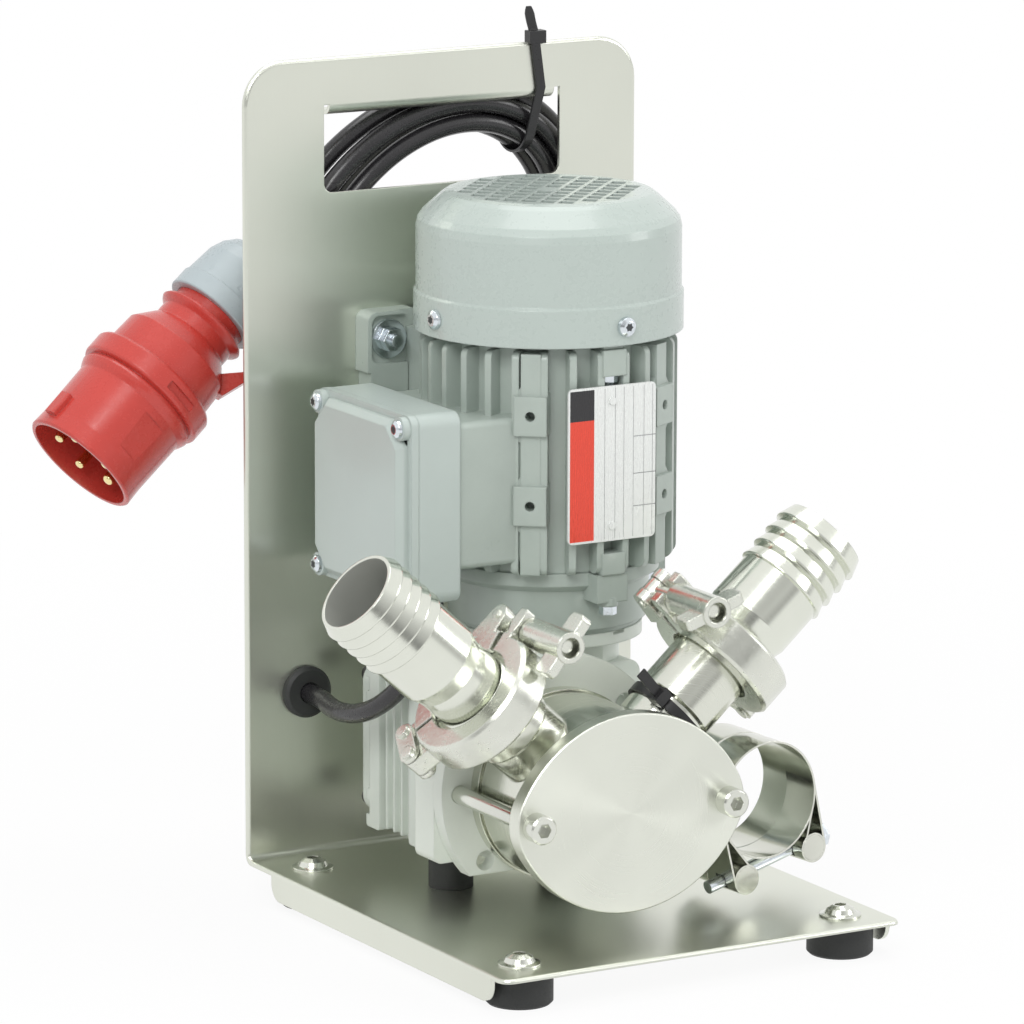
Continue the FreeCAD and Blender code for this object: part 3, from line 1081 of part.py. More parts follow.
def motor_foot_bolts():
    """Bolt, washer and nut at each motor foot."""
    bolts = []
    for x in (MOTOR_X - FOOT_BOLT_X, MOTOR_X + FOOT_BOLT_X):
        for h in (FOOT_BOLT_LOW, FOOT_BOLT_HIGH):
            at = V(x, BACK_Y - FOOT_PAD_T, BASE_TOP + h)
            washer = rod(at - Y * WASHER_T, Y, WASHER_D / 2, WASHER_T)
            nut = hexagon(NUT_AF, NUT_H, at - Y * (WASHER_T + NUT_H), Y)
            shank = rod(at - Y * (WASHER_T + NUT_H + 3), Y, FOOT_BOLT_D / 2,
                        WASHER_T + NUT_H + 3 + FOOT_PAD_T + SHEET)
            head = hexagon(NUT_AF, 4.0, V(x, BACK_Y + SHEET, BASE_TOP + h), Y)
            bolts.append(fuse([washer, nut, shank, head]))
    return group(bolts)


def drive_end_shield():
    """Lower motor shield: turned bell with lugs and a bearing seat."""
    z0, z1 = INPUT_FACE_Z, STATOR_Z0
    seat = MOTOR_BEARING[1] / 2
    profile = [(SHIELD_R - 3, z0), (SHIELD_R - 3, z0 + 2.5), (SHIELD_R - 0.5, z0 + 2.5), (SHIELD_R + 0.6, z1 - 9),
               (STATOR_CORE_R + 1, z1 - 6), (STATOR_CORE_R + 1, z1), (seat + 8, z1),
               (seat + SEAT, z0 + 18), (seat + SEAT, z0 + 6), (9.0, z0 + 6), (9.0, z0)]
    pieces = [turned(profile, FreeCAD.Placement(V(MOTOR_X, MOTOR_Y, 0), FreeCAD.Rotation()))]
    holes = []
    for angle in lug_angles():
        lug = box(STATOR_CORE_R - 8, FIN_R - 0.5, -8, 8, z1 - LUG_DROP + 2, z1)
        boss = rod(V(LUG_STUD_AT, 0, z1 - LUG_DROP), Z, 4.6, 4)
        pieces.append(on_motor(lug.fuse(boss), angle))
        holes.append(on_motor(rod(V(LUG_STUD_AT, 0, z1 - LUG_DROP - 1), Z, LUG_STUD_D / 2 + GAP, LUG_DROP + 2), angle))
    return cut(fuse(pieces), holes)


def lug_angles():
    """Directions of the shield lugs, seen from above."""
    return (-90.0, 0.0, 90.0)


def fan_end_shield():
    """Upper motor shield with its bearing seat, under the fan cover."""
    z0 = STATOR_Z1
    at = V(MOTOR_X, MOTOR_Y, 0)
    seat = MOTOR_BEARING[1] / 2 + SEAT
    low, top = z0 - 1.0, z0 + 9.0
    profile = [(9.0, top + 3), (9.0, top), (seat, top), (seat, low), (STATOR_BORE_R - 1, low), (STATOR_BORE_R - 1, z0),
               (STATOR_CORE_R + 2, z0), (STATOR_CORE_R + 2, z0 + 7), (30, z0 + 9), (24, top + 3)]
    pieces = [turned(profile, FreeCAD.Placement(at, FreeCAD.Rotation()))]
    screw_z = BAND_Z0 + COVER_SCREW_UP
    for angle in cover_screw_angles():
        pieces.append(on_motor(box(STATOR_CORE_R - 2, COVER_R - COVER_WALL - GAP, -5, 5, z0 + 2, screw_z + 5), angle))
    for angle in lug_angles():
        pieces.append(on_motor(box(STATOR_CORE_R - 2, FIN_R - 1, -5, 5, z0, z0 + 7), angle))
    holes = [on_motor(rod(V(LUG_STUD_AT, 0, z0 - 1), Z, LUG_STUD_D / 2 + SEAT, 6.1), angle) for angle in lug_angles()]
    return cut(fuse(pieces), holes + [cover_screw_shank(angle, SEAT) for angle in cover_screw_angles()])


def fan_cover():
    """Pressed fan cover: band, wall, bevelled shoulder and a grille of square holes."""
    at = V(MOTOR_X, MOTOR_Y, 0)
    t = COVER_WALL
    z0, z1 = BAND_Z0, COVER_Z1
    zb = z0 + BAND_H
    r = COVER_R
    outer = [(BAND_R, z0), (BAND_R, zb), (r, zb + 1.2)] + [(r - inward, z1 - down) for inward, down in COVER_SHOULDER]
    inner = [(r - t - inward, z1 - t - down) for inward, down in COVER_SHOULDER[::-1]]
    shell = turned(outer + [(0, z1), (0, z1 - t)] + inner + [(r - t, z0)], FreeCAD.Placement(at, FreeCAD.Rotation()))
    side = GRILLE_PITCH - GRILLE_BAR
    holes = []
    reach = int(GRILLE_R / GRILLE_PITCH) + 1
    for i in range(-reach, reach + 1):
        for j in range(-reach, reach + 1):
            x, y = i * GRILLE_PITCH, j * GRILLE_PITCH
            if math.hypot(abs(x) + side / 2, abs(y) + side / 2) < GRILLE_R and (i, j) != (0, 0):
                holes.append(box(x - side / 2, x + side / 2, y - side / 2, y + side / 2, z1 - t - 1, z1 + 1))
    grille = Part.Compound(holes)
    grille.rotate(V(0, 0, 0), Z, 45)
    grille.translate(at)
    return shell.cut(grille).cut(Part.Compound([cover_screw_shank(a, SEAT) for a in cover_screw_angles()]))


def cover_screw_angles():
    """Directions of the fan cover's screws, seen from above."""
    return (-86.0, 4.0, 184.0)


def cover_screw_shank(angle, play):
    """Shank of one fan cover screw with some play."""
    return on_motor(rod(V(FIN_R - 2, 0, BAND_Z0 + COVER_SCREW_UP), X, 2.0 + play, BAND_R - FIN_R + 2), angle)


def fan_cover_screws():
    """Pan-head screws round the band."""
    screws = []
    for angle in cover_screw_angles():
        seat = along(X, V(BAND_R, 0, BAND_Z0 + COVER_SCREW_UP))
        head = turned([(0, 0), (4.6, 0), (4.3, 1.7), (2.8, 2.8), (0, 2.8)], seat)
        screws.append(fuse([on_motor(head, angle), cover_screw_shank(angle, 0)]))
    return group(screws)


def stator_core():
    """Wound stator drawn as the core with its two winding heads."""
    z0, z1 = STATOR_Z0 + 16, STATOR_Z1 - 16
    at = V(MOTOR_X, MOTOR_Y, 0)
    core = tube(at + V(0, 0, z0), Z, STATOR_BORE_R - SEAT, 31.0, z1 - z0)
    heads = [tube(at + V(0, 0, z0 - 12), Z, 43.0, 33.0, 12), tube(at + V(0, 0, z1), Z, 43.0, 33.0, 12)]
    return fuse([core] + heads)


def rotor_shaft():
    """Motor shaft with the rotor cage on it."""
    at = V(MOTOR_X, MOTOR_Y, 0)
    low, high = motor_bearing_heights()
    b, seat_r = MOTOR_BEARING[2] / 2, MOTOR_BEARING[0] / 2
    z0, z1 = STATOR_Z0 + 16, STATOR_Z1 - 16
    top = COVER_Z1 - 20
    profile = [(0, INPUT_FACE_Z - 27), (5.5, INPUT_FACE_Z - 27), (5.5, low - b), (seat_r, low - b), (seat_r, low + b),
               (8.0, low + b), (8.0, z0), (30.5, z0), (30.5, z1), (8.0, z1), (8.0, high - b), (seat_r, high - b),
               (seat_r, high + b), (5.5, high + b), (5.5, top), (0, top)]
    return turned(profile, FreeCAD.Placement(at, FreeCAD.Rotation()))


def cooling_fan():
    """Radial fan: hub, disc and straight blades."""
    z0 = STATOR_Z1 + 18
    at = V(MOTOR_X, MOTOR_Y, 0)
    parts = [rod(V(0, 0, z0), Z, 10, 22), rod(V(0, 0, z0), Z, 50, 2)]
    for k in range(8):
        blade = box(9, 52, -1, 1, z0 + 1, z0 + 20)
        blade.rotate(V(0, 0, 0), Z, 45 * k + 10)
        parts.append(blade)
    fan = fuse(parts)
    fan.translate(at)
    return fan.cut(rod(at + V(0, 0, z0 - 1), Z, 5.5 + SEAT, 30))


def terminal_box():
    """Open case of the terminal box, with the gland's hole in its floor."""
    x0, x1 = MOTOR_X - BOX_FACE + BOX_COVER_T, MOTOR_X - BOX_ROOT
    y0, y1 = MOTOR_Y - BOX_HALF, MOTOR_Y + BOX_HALF
    z = BASE_TOP + BOX_H
    case = rounded_box(x0, x1, y0, y1, z - BOX_HALF, z + BOX_HALF, 6.0, X)
    room = rounded_box(x0 - 1, x1 - BOX_WALL, y0 + BOX_WALL, y1 - BOX_WALL, z - BOX_HALF + BOX_WALL,
                       z + BOX_HALF - BOX_WALL, 4.0, X)
    posts = []
    holes = []
    for dy, dz in box_screws():
        posts.append(rod(V(x0, MOTOR_Y + dy, z + dz), X, 4.5, x1 - x0 - 1))
        holes.append(rod(V(x0 - 1, MOTOR_Y + dy, z + dz), X, 2.0 + SEAT, 11))
    case = fuse([case.cut(room)] + [p.common(box(x0, x1, y0, y1, z - BOX_HALF, z + BOX_HALF)) for p in posts])
    gland = rod(V(PLATE_X + GLAND_X, BACK_Y - GLAND_Y, z - BOX_HALF - 1), Z, 6.0 + SEAT, BOX_WALL + 3)
    passage = rod(V(x1 - BOX_WALL - 1, MOTOR_Y, z), X, 9.0, BOX_WALL + 2)
    return cut(case, holes + [gland, passage])


def box_screws():
    """Places of the cover screws from the box's middle."""
    return [(a * BOX_SCREW, b * BOX_SCREW) for a in (-1, 1) for b in (-1, 1)]


def terminal_cover():
    """Cover of the terminal box: rim, raised panel with cut corners, a round boss at each screw."""
    x0, x1 = MOTOR_X - BOX_FACE, MOTOR_X - BOX_FACE + BOX_COVER_T
    z = BASE_TOP + BOX_H
    y0, y1 = MOTOR_Y - BOX_HALF, MOTOR_Y + BOX_HALF
    rim = rounded_box(x1 - BOX_RIM_T, x1, y0, y1, z - BOX_HALF, z + BOX_HALF, 5.0, X)
    a, c = BOX_HALF - BOX_PANEL_INSET, BOX_HALF - BOX_PANEL_INSET - BOX_PANEL_CORNER
    corners = [(-a, -c), (-c, -a), (c, -a), (a, -c), (a, c), (c, a), (-c, a), (-a, c)]
    panel = prism([V(x0, MOTOR_Y + y, z + h) for y, h in corners], V(BOX_COVER_T - 1, 0, 0))
    face = [e for e in panel.Edges if abs(e.CenterOfMass.x - x0) < 0.01]
    panel = panel.makeChamfer(3.0, face)
    bosses = [rod(V(x0 + 1.6, MOTOR_Y + dy, z + dz), X, 5.4, BOX_COVER_T - 1.6) for dy, dz in box_screws()]
    room = rounded_box(x0 + 4.6, x1 + 1, y0 + 4, y1 - 4, z - BOX_HALF + 4, z + BOX_HALF - 4, 5.0, X)
    posts = [rod(V(x0 + 3, MOTOR_Y + dy, z + dz), X, 4.0, x1 - x0 - 3) for dy, dz in box_screws()]
    lid = fuse([fuse([rim, panel] + bosses).cut(room)] + posts)
    return cut(lid, [rod(V(x0 - 1, MOTOR_Y + dy, z + dz), X, 2.0 + SEAT, BOX_COVER_T + 2) for dy, dz in box_screws()])


def terminal_cover_screws():
    """Four pan-head screws in the box's cover."""
    x0 = MOTOR_X - BOX_FACE
    z = BASE_TOP + BOX_H
    screws = []
    for dy, dz in box_screws():
        at = V(x0 + 1.6, MOTOR_Y + dy, z + dz)
        head = turned([(0, 0), (4.2, 0), (3.9, 1.6), (2.4, 2.6), (0, 2.6)], along(-X, at))
        screws.append(fuse([head, rod(at, X, 2.0, BOX_COVER_T + 7)]))
    return group(screws)


def cable_gland():
    """Gland under the terminal box: thread, hexagon, dome nut."""
    top = BASE_TOP + BOX_H - BOX_HALF
    at = V(PLATE_X + GLAND_X, BACK_Y - GLAND_Y, top)
    body = fuse([rod(at, Z, 6.0, BOX_WALL + 2), hexagon(17.0, 5.0, at - Z * 5, Z),
                 turned([(8.0, -5), (8.0, -11), (5.5, -GLAND_L), (0, -GLAND_L), (0, -5)],
                        FreeCAD.Placement(at, FreeCAD.Rotation()))])
    return body.cut(rod(at - Z * (GLAND_L + 1), Z, LEAD_D / 2 + SEAT, GLAND_L + 10))


# Hose clamps

def hose_frame(centre, yaw):
    """Local axes of a hanging clamp: z along its axis to the front, y up and turned by the roll."""
    turn, roll = math.radians(yaw), math.radians(HOSE_ROLL)
    side, front = V(math.cos(turn), math.sin(turn), 0), V(math.sin(turn), -math.cos(turn), 0)
    u = side * math.cos(roll) + Z * math.sin(roll)
    return frame_at(centre, u, front.cross(u), front)


def trunnions():
    """Places of the two trunnions round the ring, in local axes."""
    a = math.radians(TRUNNION_HALF_ANGLE)
    return [V(side * TRUNNION_REACH * math.sin(a), -TRUNNION_REACH * math.cos(a), 0) for side in (-1, 1)]


def strip(a, b, thickness, width):
    """Flat strip between two points of the ring's plane."""
    way = (b - a).normalize()
    off = V(-way.y, way.x, 0) * (thickness / 2)
    low = V(0, 0, -width / 2)
    return prism([a - off + low, b - off + low, b + off + low, a + off + low], V(0, 0, width))


def hose_band():
    """Band with its bridge, and its two ends looped round the trunnions."""
    w, t = HOSE_BAND_W, HOSE_BAND_T
    low = V(0, 0, -w / 2)
    loop_r = TRUNNION_R + SEAT + t
    pieces = [tube(low, Z, HOSE_R, HOSE_R - t, w)]
    for side, centre in zip((-1, 1), trunnions()):
        pieces.append(tube(centre + low, Z, loop_r, TRUNNION_R + SEAT, w))
        out = V(centre).normalize()
        swing = math.acos((HOSE_R - loop_r) / TRUNNION_REACH)
        for angle, radius in ((swing, HOSE_R - t / 2), (swing * 0.62, HOSE_R - t / 2)):
            turn = FreeCAD.Rotation(Z, math.degrees(angle) * side).multVec(out)
            start = turn * radius
            if radius and angle == swing:
                pieces.append(strip(start, centre + turn * (loop_r - t / 2), t, w))
            else:
                pieces.append(strip(start, centre - out * (loop_r - t / 2) + turn * 0.4, t, w))
    band = fuse(pieces)
    for centre in trunnions():
        band = band.cut(rod(centre + low, Z, TRUNNION_R + SEAT, w))
    band = band.cut(rod(low, Z, HOSE_R - t, w))
    line = trunnions()[0].y
    half = HOSE_SCREW_D / 2 + GAP
    return band.cut(box(-60, 60, line - half, line + half, -half, half))


def hose_barrels():
    """Two trunnions drilled across for the bolt."""
    barrels = []
    for centre in trunnions():
        barrel = rod(centre - V(0, 0, HOSE_BAND_W / 2), Z, TRUNNION_R, HOSE_BAND_W)
        barrels.append(barrel.cut(rod(centre - X * 10, X, HOSE_SCREW_D / 2 + RUN, 20)))
    return barrels


def hose_screw():
    """Hexagon bolt through both trunnions."""
    left, right = trunnions()
    seat = TRUNNION_R + SEAT + HOSE_BAND_T + GAP
    start = right + X * seat
    length = right.x - left.x + seat + TRUNNION_R + HOSE_SCREW_END
    collar = rod(start, X, HOSE_HEX_AF / 2 + 1.5, 1.2)
    return fuse([rod(start, -X, HOSE_SCREW_D / 2, length), collar, hexagon(HOSE_HEX_AF, HOSE_HEX_H, start + X, X)])


# Ties

def belt(circles, inflate):
    """Flat face inside a band pulled round circles, given counter-clockwise as (x, y, radius)."""
    edges = []
    count = len(circles)
    tangents = []
    for k in range(count):
        x0, y0, r0 = circles[k]
        x1, y1, r1 = circles[(k + 1) % count]
        base = math.atan2(y1 - y0, x1 - x0)
        a = base - math.acos((r0 - r1) / math.hypot(x1 - x0, y1 - y0))
        tangents.append(a)
        edges.append(Part.makeLine(V(x0 + (r0 + inflate) * math.cos(a), y0 + (r0 + inflate) * math.sin(a), 0),
                                   V(x1 + (r1 + inflate) * math.cos(a), y1 + (r1 + inflate) * math.sin(a), 0)))
    for k in range(count):
        x, y, r = circles[k]
        a0, a1 = tangents[k - 1], tangents[k]
        while a1 < a0:
            a1 += 2 * math.pi
        points = [V(x + (r + inflate) * math.cos(a), y + (r + inflate) * math.sin(a), 0)
                  for a in (a0, (a0 + a1) / 2, a1)]
        edges.append(Part.Arc(*points).toShape())
    return Part.Face(Part.Wire(Part.__sortEdges__(edges)))


def tie(circles, head_at, head_turn, tail_l):
    """Tie with a head and a cut tail, in local axes; z runs across the strap."""
    low = V(0, 0, -TIE_W / 2)
    strap = belt(circles, TIE_T).extrude(V(0, 0, TIE_W)).cut(belt(circles, 0).extrude(V(0, 0, TIE_W)))
    strap.translate(low)
    h = TIE_HEAD / 2
    head = box(-h, h, -0.2, 5.0, -h, h)
    tail = box(-TIE_T / 2 - 1.0, TIE_T / 2 - 1.0, 4.5, 5.0 + tail_l, -TIE_W / 2, TIE_W / 2)
    end = fuse([head, tail])
    end.rotate(V(0, 0, 0), Z, head_turn)
    end.translate(head_at)
    return fuse([strap, end.cut(belt(circles, 0.05).extrude(V(0, 0, 40)).translated(V(0, 0, -20)))])


def clamp_tie():
    """Tie round the right port that carries the two hose clamps."""
    r = STUB_R + GAP + 0.1
    y0 = PORT_Y
    circles = [(0, 0, r), (35.35, -17.5, 2.0), (35.35, 29.0, 2.0)]
    a = math.radians(222)
    at = V((r + TIE_T) * math.cos(a), (r + TIE_T) * math.sin(a), 0)
    _, out, inward = port_frame(1)
    place = frame_at(V(0, y0, PUMP_Z) + out * CLAMP_TIE_AT, inward * -1, Y, (inward * -1).cross(Y))
    return placed(tie(circles, at, 222 - 90 - 38, 14.0), place)


def handle_tie():
    """Tie round the handle bar and the coiled lead."""
    bar_top, bar_low = BASE_TOP + BACK_H, BASE_TOP + SLOT_HIGH
    bundle_z = COIL_CENTRE.z + 59.2
    circles = [(BACK_Y + SHEET / 2, bar_top - 0.6, SHEET / 2 + 0.75),
               (BACK_Y + SHEET / 2 - 0.2, bar_low + 0.6, SHEET / 2 + 0.3),
               (COIL_CENTRE.y, bundle_z, COIL_TUBE_R + 3.3)]
    at = V(BACK_Y + SHEET / 2, bar_top + SHEET / 2 + TIE_T, 0)
    place = frame_at(V(PLATE_X + HANDLE_TIE_X, 0, 0), Y, Z, X)
    return placed(tie(circles, at, 6.0, 17.0), place)


# Power lead

LEAD_ROUTE = [V(-60.0, -89.5, 131.0), V(-60.0, -89.5, 117.0), V(-63.0, -84.7, 102.3), V(-68.0, -75.6, 89.8),
              V(-72.0, -63.1, 80.7), V(-74.5, -48.4, 75.9), V(-75.0, -32.0, 74.6),
              V(GROMMET_X, -14.0, GROMMET_H), V(GROMMET_X, 14.0, GROMMET_H), V(-73.0, 30.2, 82.0),
              V(-73.2, 44.0, 92.0), V(-73.0, 53.9, 105.6),
              V(-72.0, 58.5, 122.3), V(-68.0, 57.5, 140.0), V(-60.5, 52.0, 157.0), V(-49.0, 41.0, 173.0),
              V(-35.0, 33.0, 185.0), V(-18.0, 26.0, 193.0), V(0.0, 20.5, 197.0)]
PLUG_ROUTE = [V(-38.5, 53.8, 293.0), V(-20.0, 48.0, 305.0), V(1.0, 39.0, 314.0), V(24.0, 30.0, 320.0),
              V(48.0, 21.0, 321.0)]


def cord(name, points):
    """Tube of straight runs joined by tangent arcs as large as the runs allow."""
    edges = []
    here = points[0]
    radii = []
    for k in range(1, len(points) - 1):
        before, corner, after = points[k - 1], points[k], points[k + 1]
        way_in, way_out = (corner - before).normalize(), (after - corner).normalize()
        turn = way_in.getAngle(way_out)
        reach = 0.45 * min((corner - before).Length, (after - corner).Length)
        radius = reach / math.tan(turn / 2)
        radii.append(radius)
        a, b = corner - way_in * reach, corner + way_out * reach
        centre = corner + (way_out - way_in).normalize() * (radius / math.cos(turn / 2))
        middle = centre + (corner - centre).normalize() * radius
        edges.append(Part.makeLine(here, a))
        edges.append(Part.Arc(a, middle, b).toShape())
        here = b
    edges.append(Part.makeLine(here, points[-1]))
    spine = Part.Wire(edges)
    start = (points[1] - points[0]).normalize()
    ring = Part.Wire(Part.makeCircle(LEAD_D / 2, points[0], start))
    tube_solid = spine.makePipeShell([ring], True, False)
    section = math.pi * LEAD_D ** 2 / 4
    print(f"{name}: length {spine.Length:.1f}, least radius {min(radii):.1f}, "
          f"volume ratio {tube_solid.Volume / (section * spine.Length):.4f}")
    return tube_solid


def power_lead():
    """Lead from the gland through the grommet to the coil."""
    return cord("power_lead", [PLATE_FRAME + p for p in LEAD_ROUTE])


def plug_lead():
    """Lead from the coil to the plug."""
    end = PLUG_MOUTH + PLUG_DIR * PLUG_L
    return cord("plug_lead", [end, end + PLUG_DIR * 16] + [PLATE_FRAME + p for p in PLUG_ROUTE])


def lead_coil():
    """Outer shape of the coiled lead: a round ring along a four-arc oval."""
    d = COIL_A - COIL_END_R
    rise = COIL_B - COIL_END_R
    c = (d * d - rise * rise) / (2 * rise)
    big = COIL_B + c
    spread = math.degrees(math.atan2(c, d))
    pieces = []
    for x, y, radius, start, sweep in ((d, 0, COIL_END_R, -spread, 2 * spread),
                                       (0, -c, big, spread, 180 - 2 * spread),
                                       (-d, 0, COIL_END_R, 180 - spread, 2 * spread),
                                       (0, c, big, 180 + spread, 180 - 2 * spread)):
        ring = Part.Face(Part.Wire(Part.makeCircle(COIL_TUBE_R, V(radius, 0, 0), Y)))
        part = ring.revolve(V(0, 0, 0), Z, sweep)
        part.rotate(V(0, 0, 0), Z, start)
        part.translate(V(x, y, 0))
        pieces.append(part)
    ring = fuse(pieces)
    tilt = math.radians(COIL_TILT)
    long_axis = V(math.cos(tilt), 0, math.sin(tilt))
    short_axis = V(-math.sin(tilt), 0, math.cos(tilt))
    return placed(ring, frame_at(COIL_CENTRE, long_axis, short_axis, long_axis.cross(short_axis)))


def plug_placement():
    """Plug's axes: z from the mouth to the cable entry, x towards the rib on top."""
    z = V(PLUG_DIR).normalize()
    x = (Z - z * Z.dot(z)).normalize()
    return frame_at(PLUG_MOUTH, x, z.cross(x), z)


def plug_body():
    """Five-pole plug: shroud, sealing ring with its window, body, neck, latch and thread."""
    r, ring, n = PLUG_RIM_R, PLUG_RING_AT, PLUG_NECK_AT
    wide = PLUG_RING_R
    profile = [(PLUG_CAVITY_R, 0), (r - 0.8, 0), (r, 0.8), (r - 0.4, 9.0), (r, ring - 3), (wide - 2.4, ring - 0.6),
               (wide - 1.6, ring + 1.4), (wide - 2.2, ring + 3.2), (wide - 3.0, ring + 3.8), (wide - 0.5, ring + 4.6),
               (wide, ring + 5.6), (wide, ring + 14.0), (wide - 0.8, ring + 15.2), (PLUG_BODY_R + 0.8, ring + 15.6),
               (PLUG_BODY_R, PLUG_BODY_END), (PLUG_NECK_R + 1.5, n - 1.6), (PLUG_NECK_R, n), (PLUG_NECK_R, n + 6),
               (22.0, n + 8.2), (22.6, n + 9.2), (21.8, n + 10.4), (PLUG_THREAD_R, n + 11.0),
               (PLUG_THREAD_R, PLUG_L - 16), (0, PLUG_L - 16), (0, PLUG_CAVITY), (PLUG_CAVITY_R, PLUG_CAVITY)]
    body = turned(profile)
    rib = rounded_box(r - 1.2, r + 2.4, -3.5, 3.5, 5, 17, 1.0, Z)
    latch = prism([V(PLUG_BODY_R - 2, -5, n - 12), V(PLUG_BODY_R + 1.5, -5, n - 11), V(PLUG_BODY_R + 5.5, -5, n + 2),
                   V(PLUG_BODY_R + 4.5, -5, n + 6.5), V(PLUG_BODY_R + 1.5, -5, n + 4), V(PLUG_BODY_R - 6, -5, n - 4)],
                  V(0, 10, 0))
    latch.rotate(V(0, 0, 0), Z, PLUG_LATCH)
    window = box(wide - 1.8, wide + 2, -8.5, 8.5, ring + 7.4, ring + 11.2)
    panel = box(r - 0.9, r + 4, -10.5, 10.5, 12, ring - 7)
    holes = [rod(V(x, y, PLUG_CAVITY - 1), Z, d / 2 + SEAT, 9) for x, y, d in pin_places()]
    for recess in (window, panel):
        recess.rotate(V(0, 0, 0), Z, PLUG_WINDOW)
        holes.append(recess)
    return placed(cut(fuse([body, rib, latch]), holes), plug_placement())


def pin_places():
    """Five pins on a circle as (x, y, diameter), the earth pin thicker."""
    places = []
    for k in range(5):
        a = math.radians(72 * k + PIN_TURN)
        places.append((PIN_CIRCLE_R * math.cos(a), PIN_CIRCLE_R * math.sin(a), EARTH_PIN_D if k == 2 else PIN_D))
    return places


def plug_pins():
    """Turned pins with rounded tips."""
    pins = []
    for x, y, d in pin_places():
        pin = rod(V(x, y, PLUG_CAVITY - PIN_STAND), Z, d / 2, PIN_STAND + 7.5)
        tip = [e for e in pin.Edges if abs(e.CenterOfMass.z - (PLUG_CAVITY - PIN_STAND)) < 0.01]
        pins.append(placed(pin.makeFillet(d / 2 - 0.6, tip), plug_placement()))
    return group(pins)


def plug_nut():
    """Clamping nut with a collar, grip flutes and a domed end."""
    a, end = PLUG_NUT_AT, PLUG_L
    r = PLUG_NUT_R
    inner = PLUG_THREAD_R + SEAT
    outer = [(inner, a), (r - 0.6, a), (r, a + 0.6), (r - 0.2, a + 9), (r - 0.9, a + 9.6), (r - 2.4, end - 13),
             (r - 4.6, end - 7), (r - 8.2, end - 2.4), (PLUG_NUT_END_R, end), (0, end), (0, end - 15.5),
             (inner, end - 15.5)]
    nut = turned(outer)
    flutes = [rod(V((r + 1.4) * math.cos(t), (r + 1.4) * math.sin(t), a + 12), Z, 2.8, 40)
              for t in (math.radians(45 * k + 20) for k in range(8))]
    return placed(cut(nut, flutes), plug_placement())


def name_plate():
    """Flat blank plate on the fins at the motor's front, with two rivets."""
    x, y = MOTOR_X + NAME_SHIFT, MOTOR_Y - FIN_R - GAP
    z0, z1 = BASE_TOP + NAME_LOW, BASE_TOP + NAME_HIGH
    sheet = rounded_box(x - NAME_W / 2, x + NAME_W / 2, y - NAME_T, y, z0, z1, 2.5, Y)
    rivets = [rod(V(x, y - NAME_T - 0.8, h), Y, 1.8, 1.2) for h in (z0 + NAME_RIVET, z1 - NAME_RIVET)]
    return fuse([sheet] + rivets)


def build():
    """Make every node."""
    add("frame_plate", frame_plate())
    add("rubber_feet", rubber_feet())
    add("foot_screws", foot_screws())
    add("cable_grommet", cable_grommet())
    add("gearbox_housing", gearbox_housing())
    add("gearbox_cover", gearbox_cover())
    add("gearbox_buffers", gearbox_buffers())
    add("output_flange", output_flange())
    add("ball_bearings", ball_bearings())
    add("worm", worm())
    add("worm_wheel", worm_wheel())
    add("pump_shaft", pump_shaft())
    add("impeller", impeller())
    add("pump_body", pump_body())
    add("cover_o_ring", cover_o_ring())
    add("shaft_seal", shaft_seal())
    add("pump_cover", pump_cover())
    add("pump_cover_bolts", pump_cover_bolts())
    add("port_gaskets", port_gaskets())
    for name, side in (("left", -1), ("right", 1)):
        place = clamp_placement(side)
        add(f"hose_tail_{name}", hose_tail(side))
        add(f"clamp_{name}_rear_half", placed(clamp_rear_half(), place))
        add(f"clamp_{name}_front_half", placed(clamp_front_half(), place))
        add(f"clamp_{name}_link", placed(clamp_link(), place))
        add(f"clamp_{name}_eye_bolt", placed(clamp_eye_bolt(), place))
        add(f"clamp_{name}_wing_nut", placed(clamp_wing_nut(side), place))
    add("motor_housing", motor_housing())
    add("motor_feet", motor_feet())
    add("motor_foot_bolts", motor_foot_bolts())
    add("drive_end_shield", drive_end_shield())
    add("fan_end_shield", fan_end_shield())
    add("fan_cover", fan_cover())
    add("stator_core", stator_core())
    add("rotor_shaft", rotor_shaft())
    add("cooling_fan", cooling_fan())
    add("terminal_box", terminal_box())
    add("terminal_cover", terminal_cover())
    add("terminal_cover_screws", terminal_cover_screws())
    add("cable_gland", cable_gland())
    add("name_plate", name_plate())
    add("motor_screws", group([fan_cover_screws(), shield_screws()]))
    add("gearbox_screws", group([gearbox_cover_screws(), flange_screws()]))
    barrels = []
    for name, at, yaw in (("front", HOSE_FRONT_AT, HOSE_FRONT_YAW), ("rear", HOSE_REAR_AT, HOSE_REAR_YAW)):
        place = hose_frame(at, yaw)
        add(f"hose_clamp_{name}_band", placed(hose_band(), place))
        add(f"hose_clamp_{name}_screw", placed(hose_screw(), place))
        barrels += [placed(barrel, place) for barrel in hose_barrels()]
    add("hose_clamp_barrels", group(barrels))
    add("clamp_tie", clamp_tie())
    add("handle_tie", handle_tie())
    add("power_lead", power_lead())
    add("lead_coil", lead_coil())
    add("plug_lead", plug_lead())
    add("plug_body", plug_body())
    add("plug_pins", plug_pins())
    add("plug_nut", plug_nut())


def main():
    """Build and write one STEP file per node."""
    build()
    os.makedirs("parts", exist_ok=True)
    for name, shape in NODES.items():
        shape.exportStep(f"parts/{name}.step")


main()
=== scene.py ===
"""Looks of the honey pump: finishes, the coiled power lead, small trims, light and camera."""
import json
import logging
import math
from dataclasses import dataclass, field
from enum import Enum
from typing import Iterable, Sequence

import bmesh
import bpy
from mathutils import Matrix, Vector
from mathutils.geometry import convex_hull_2d


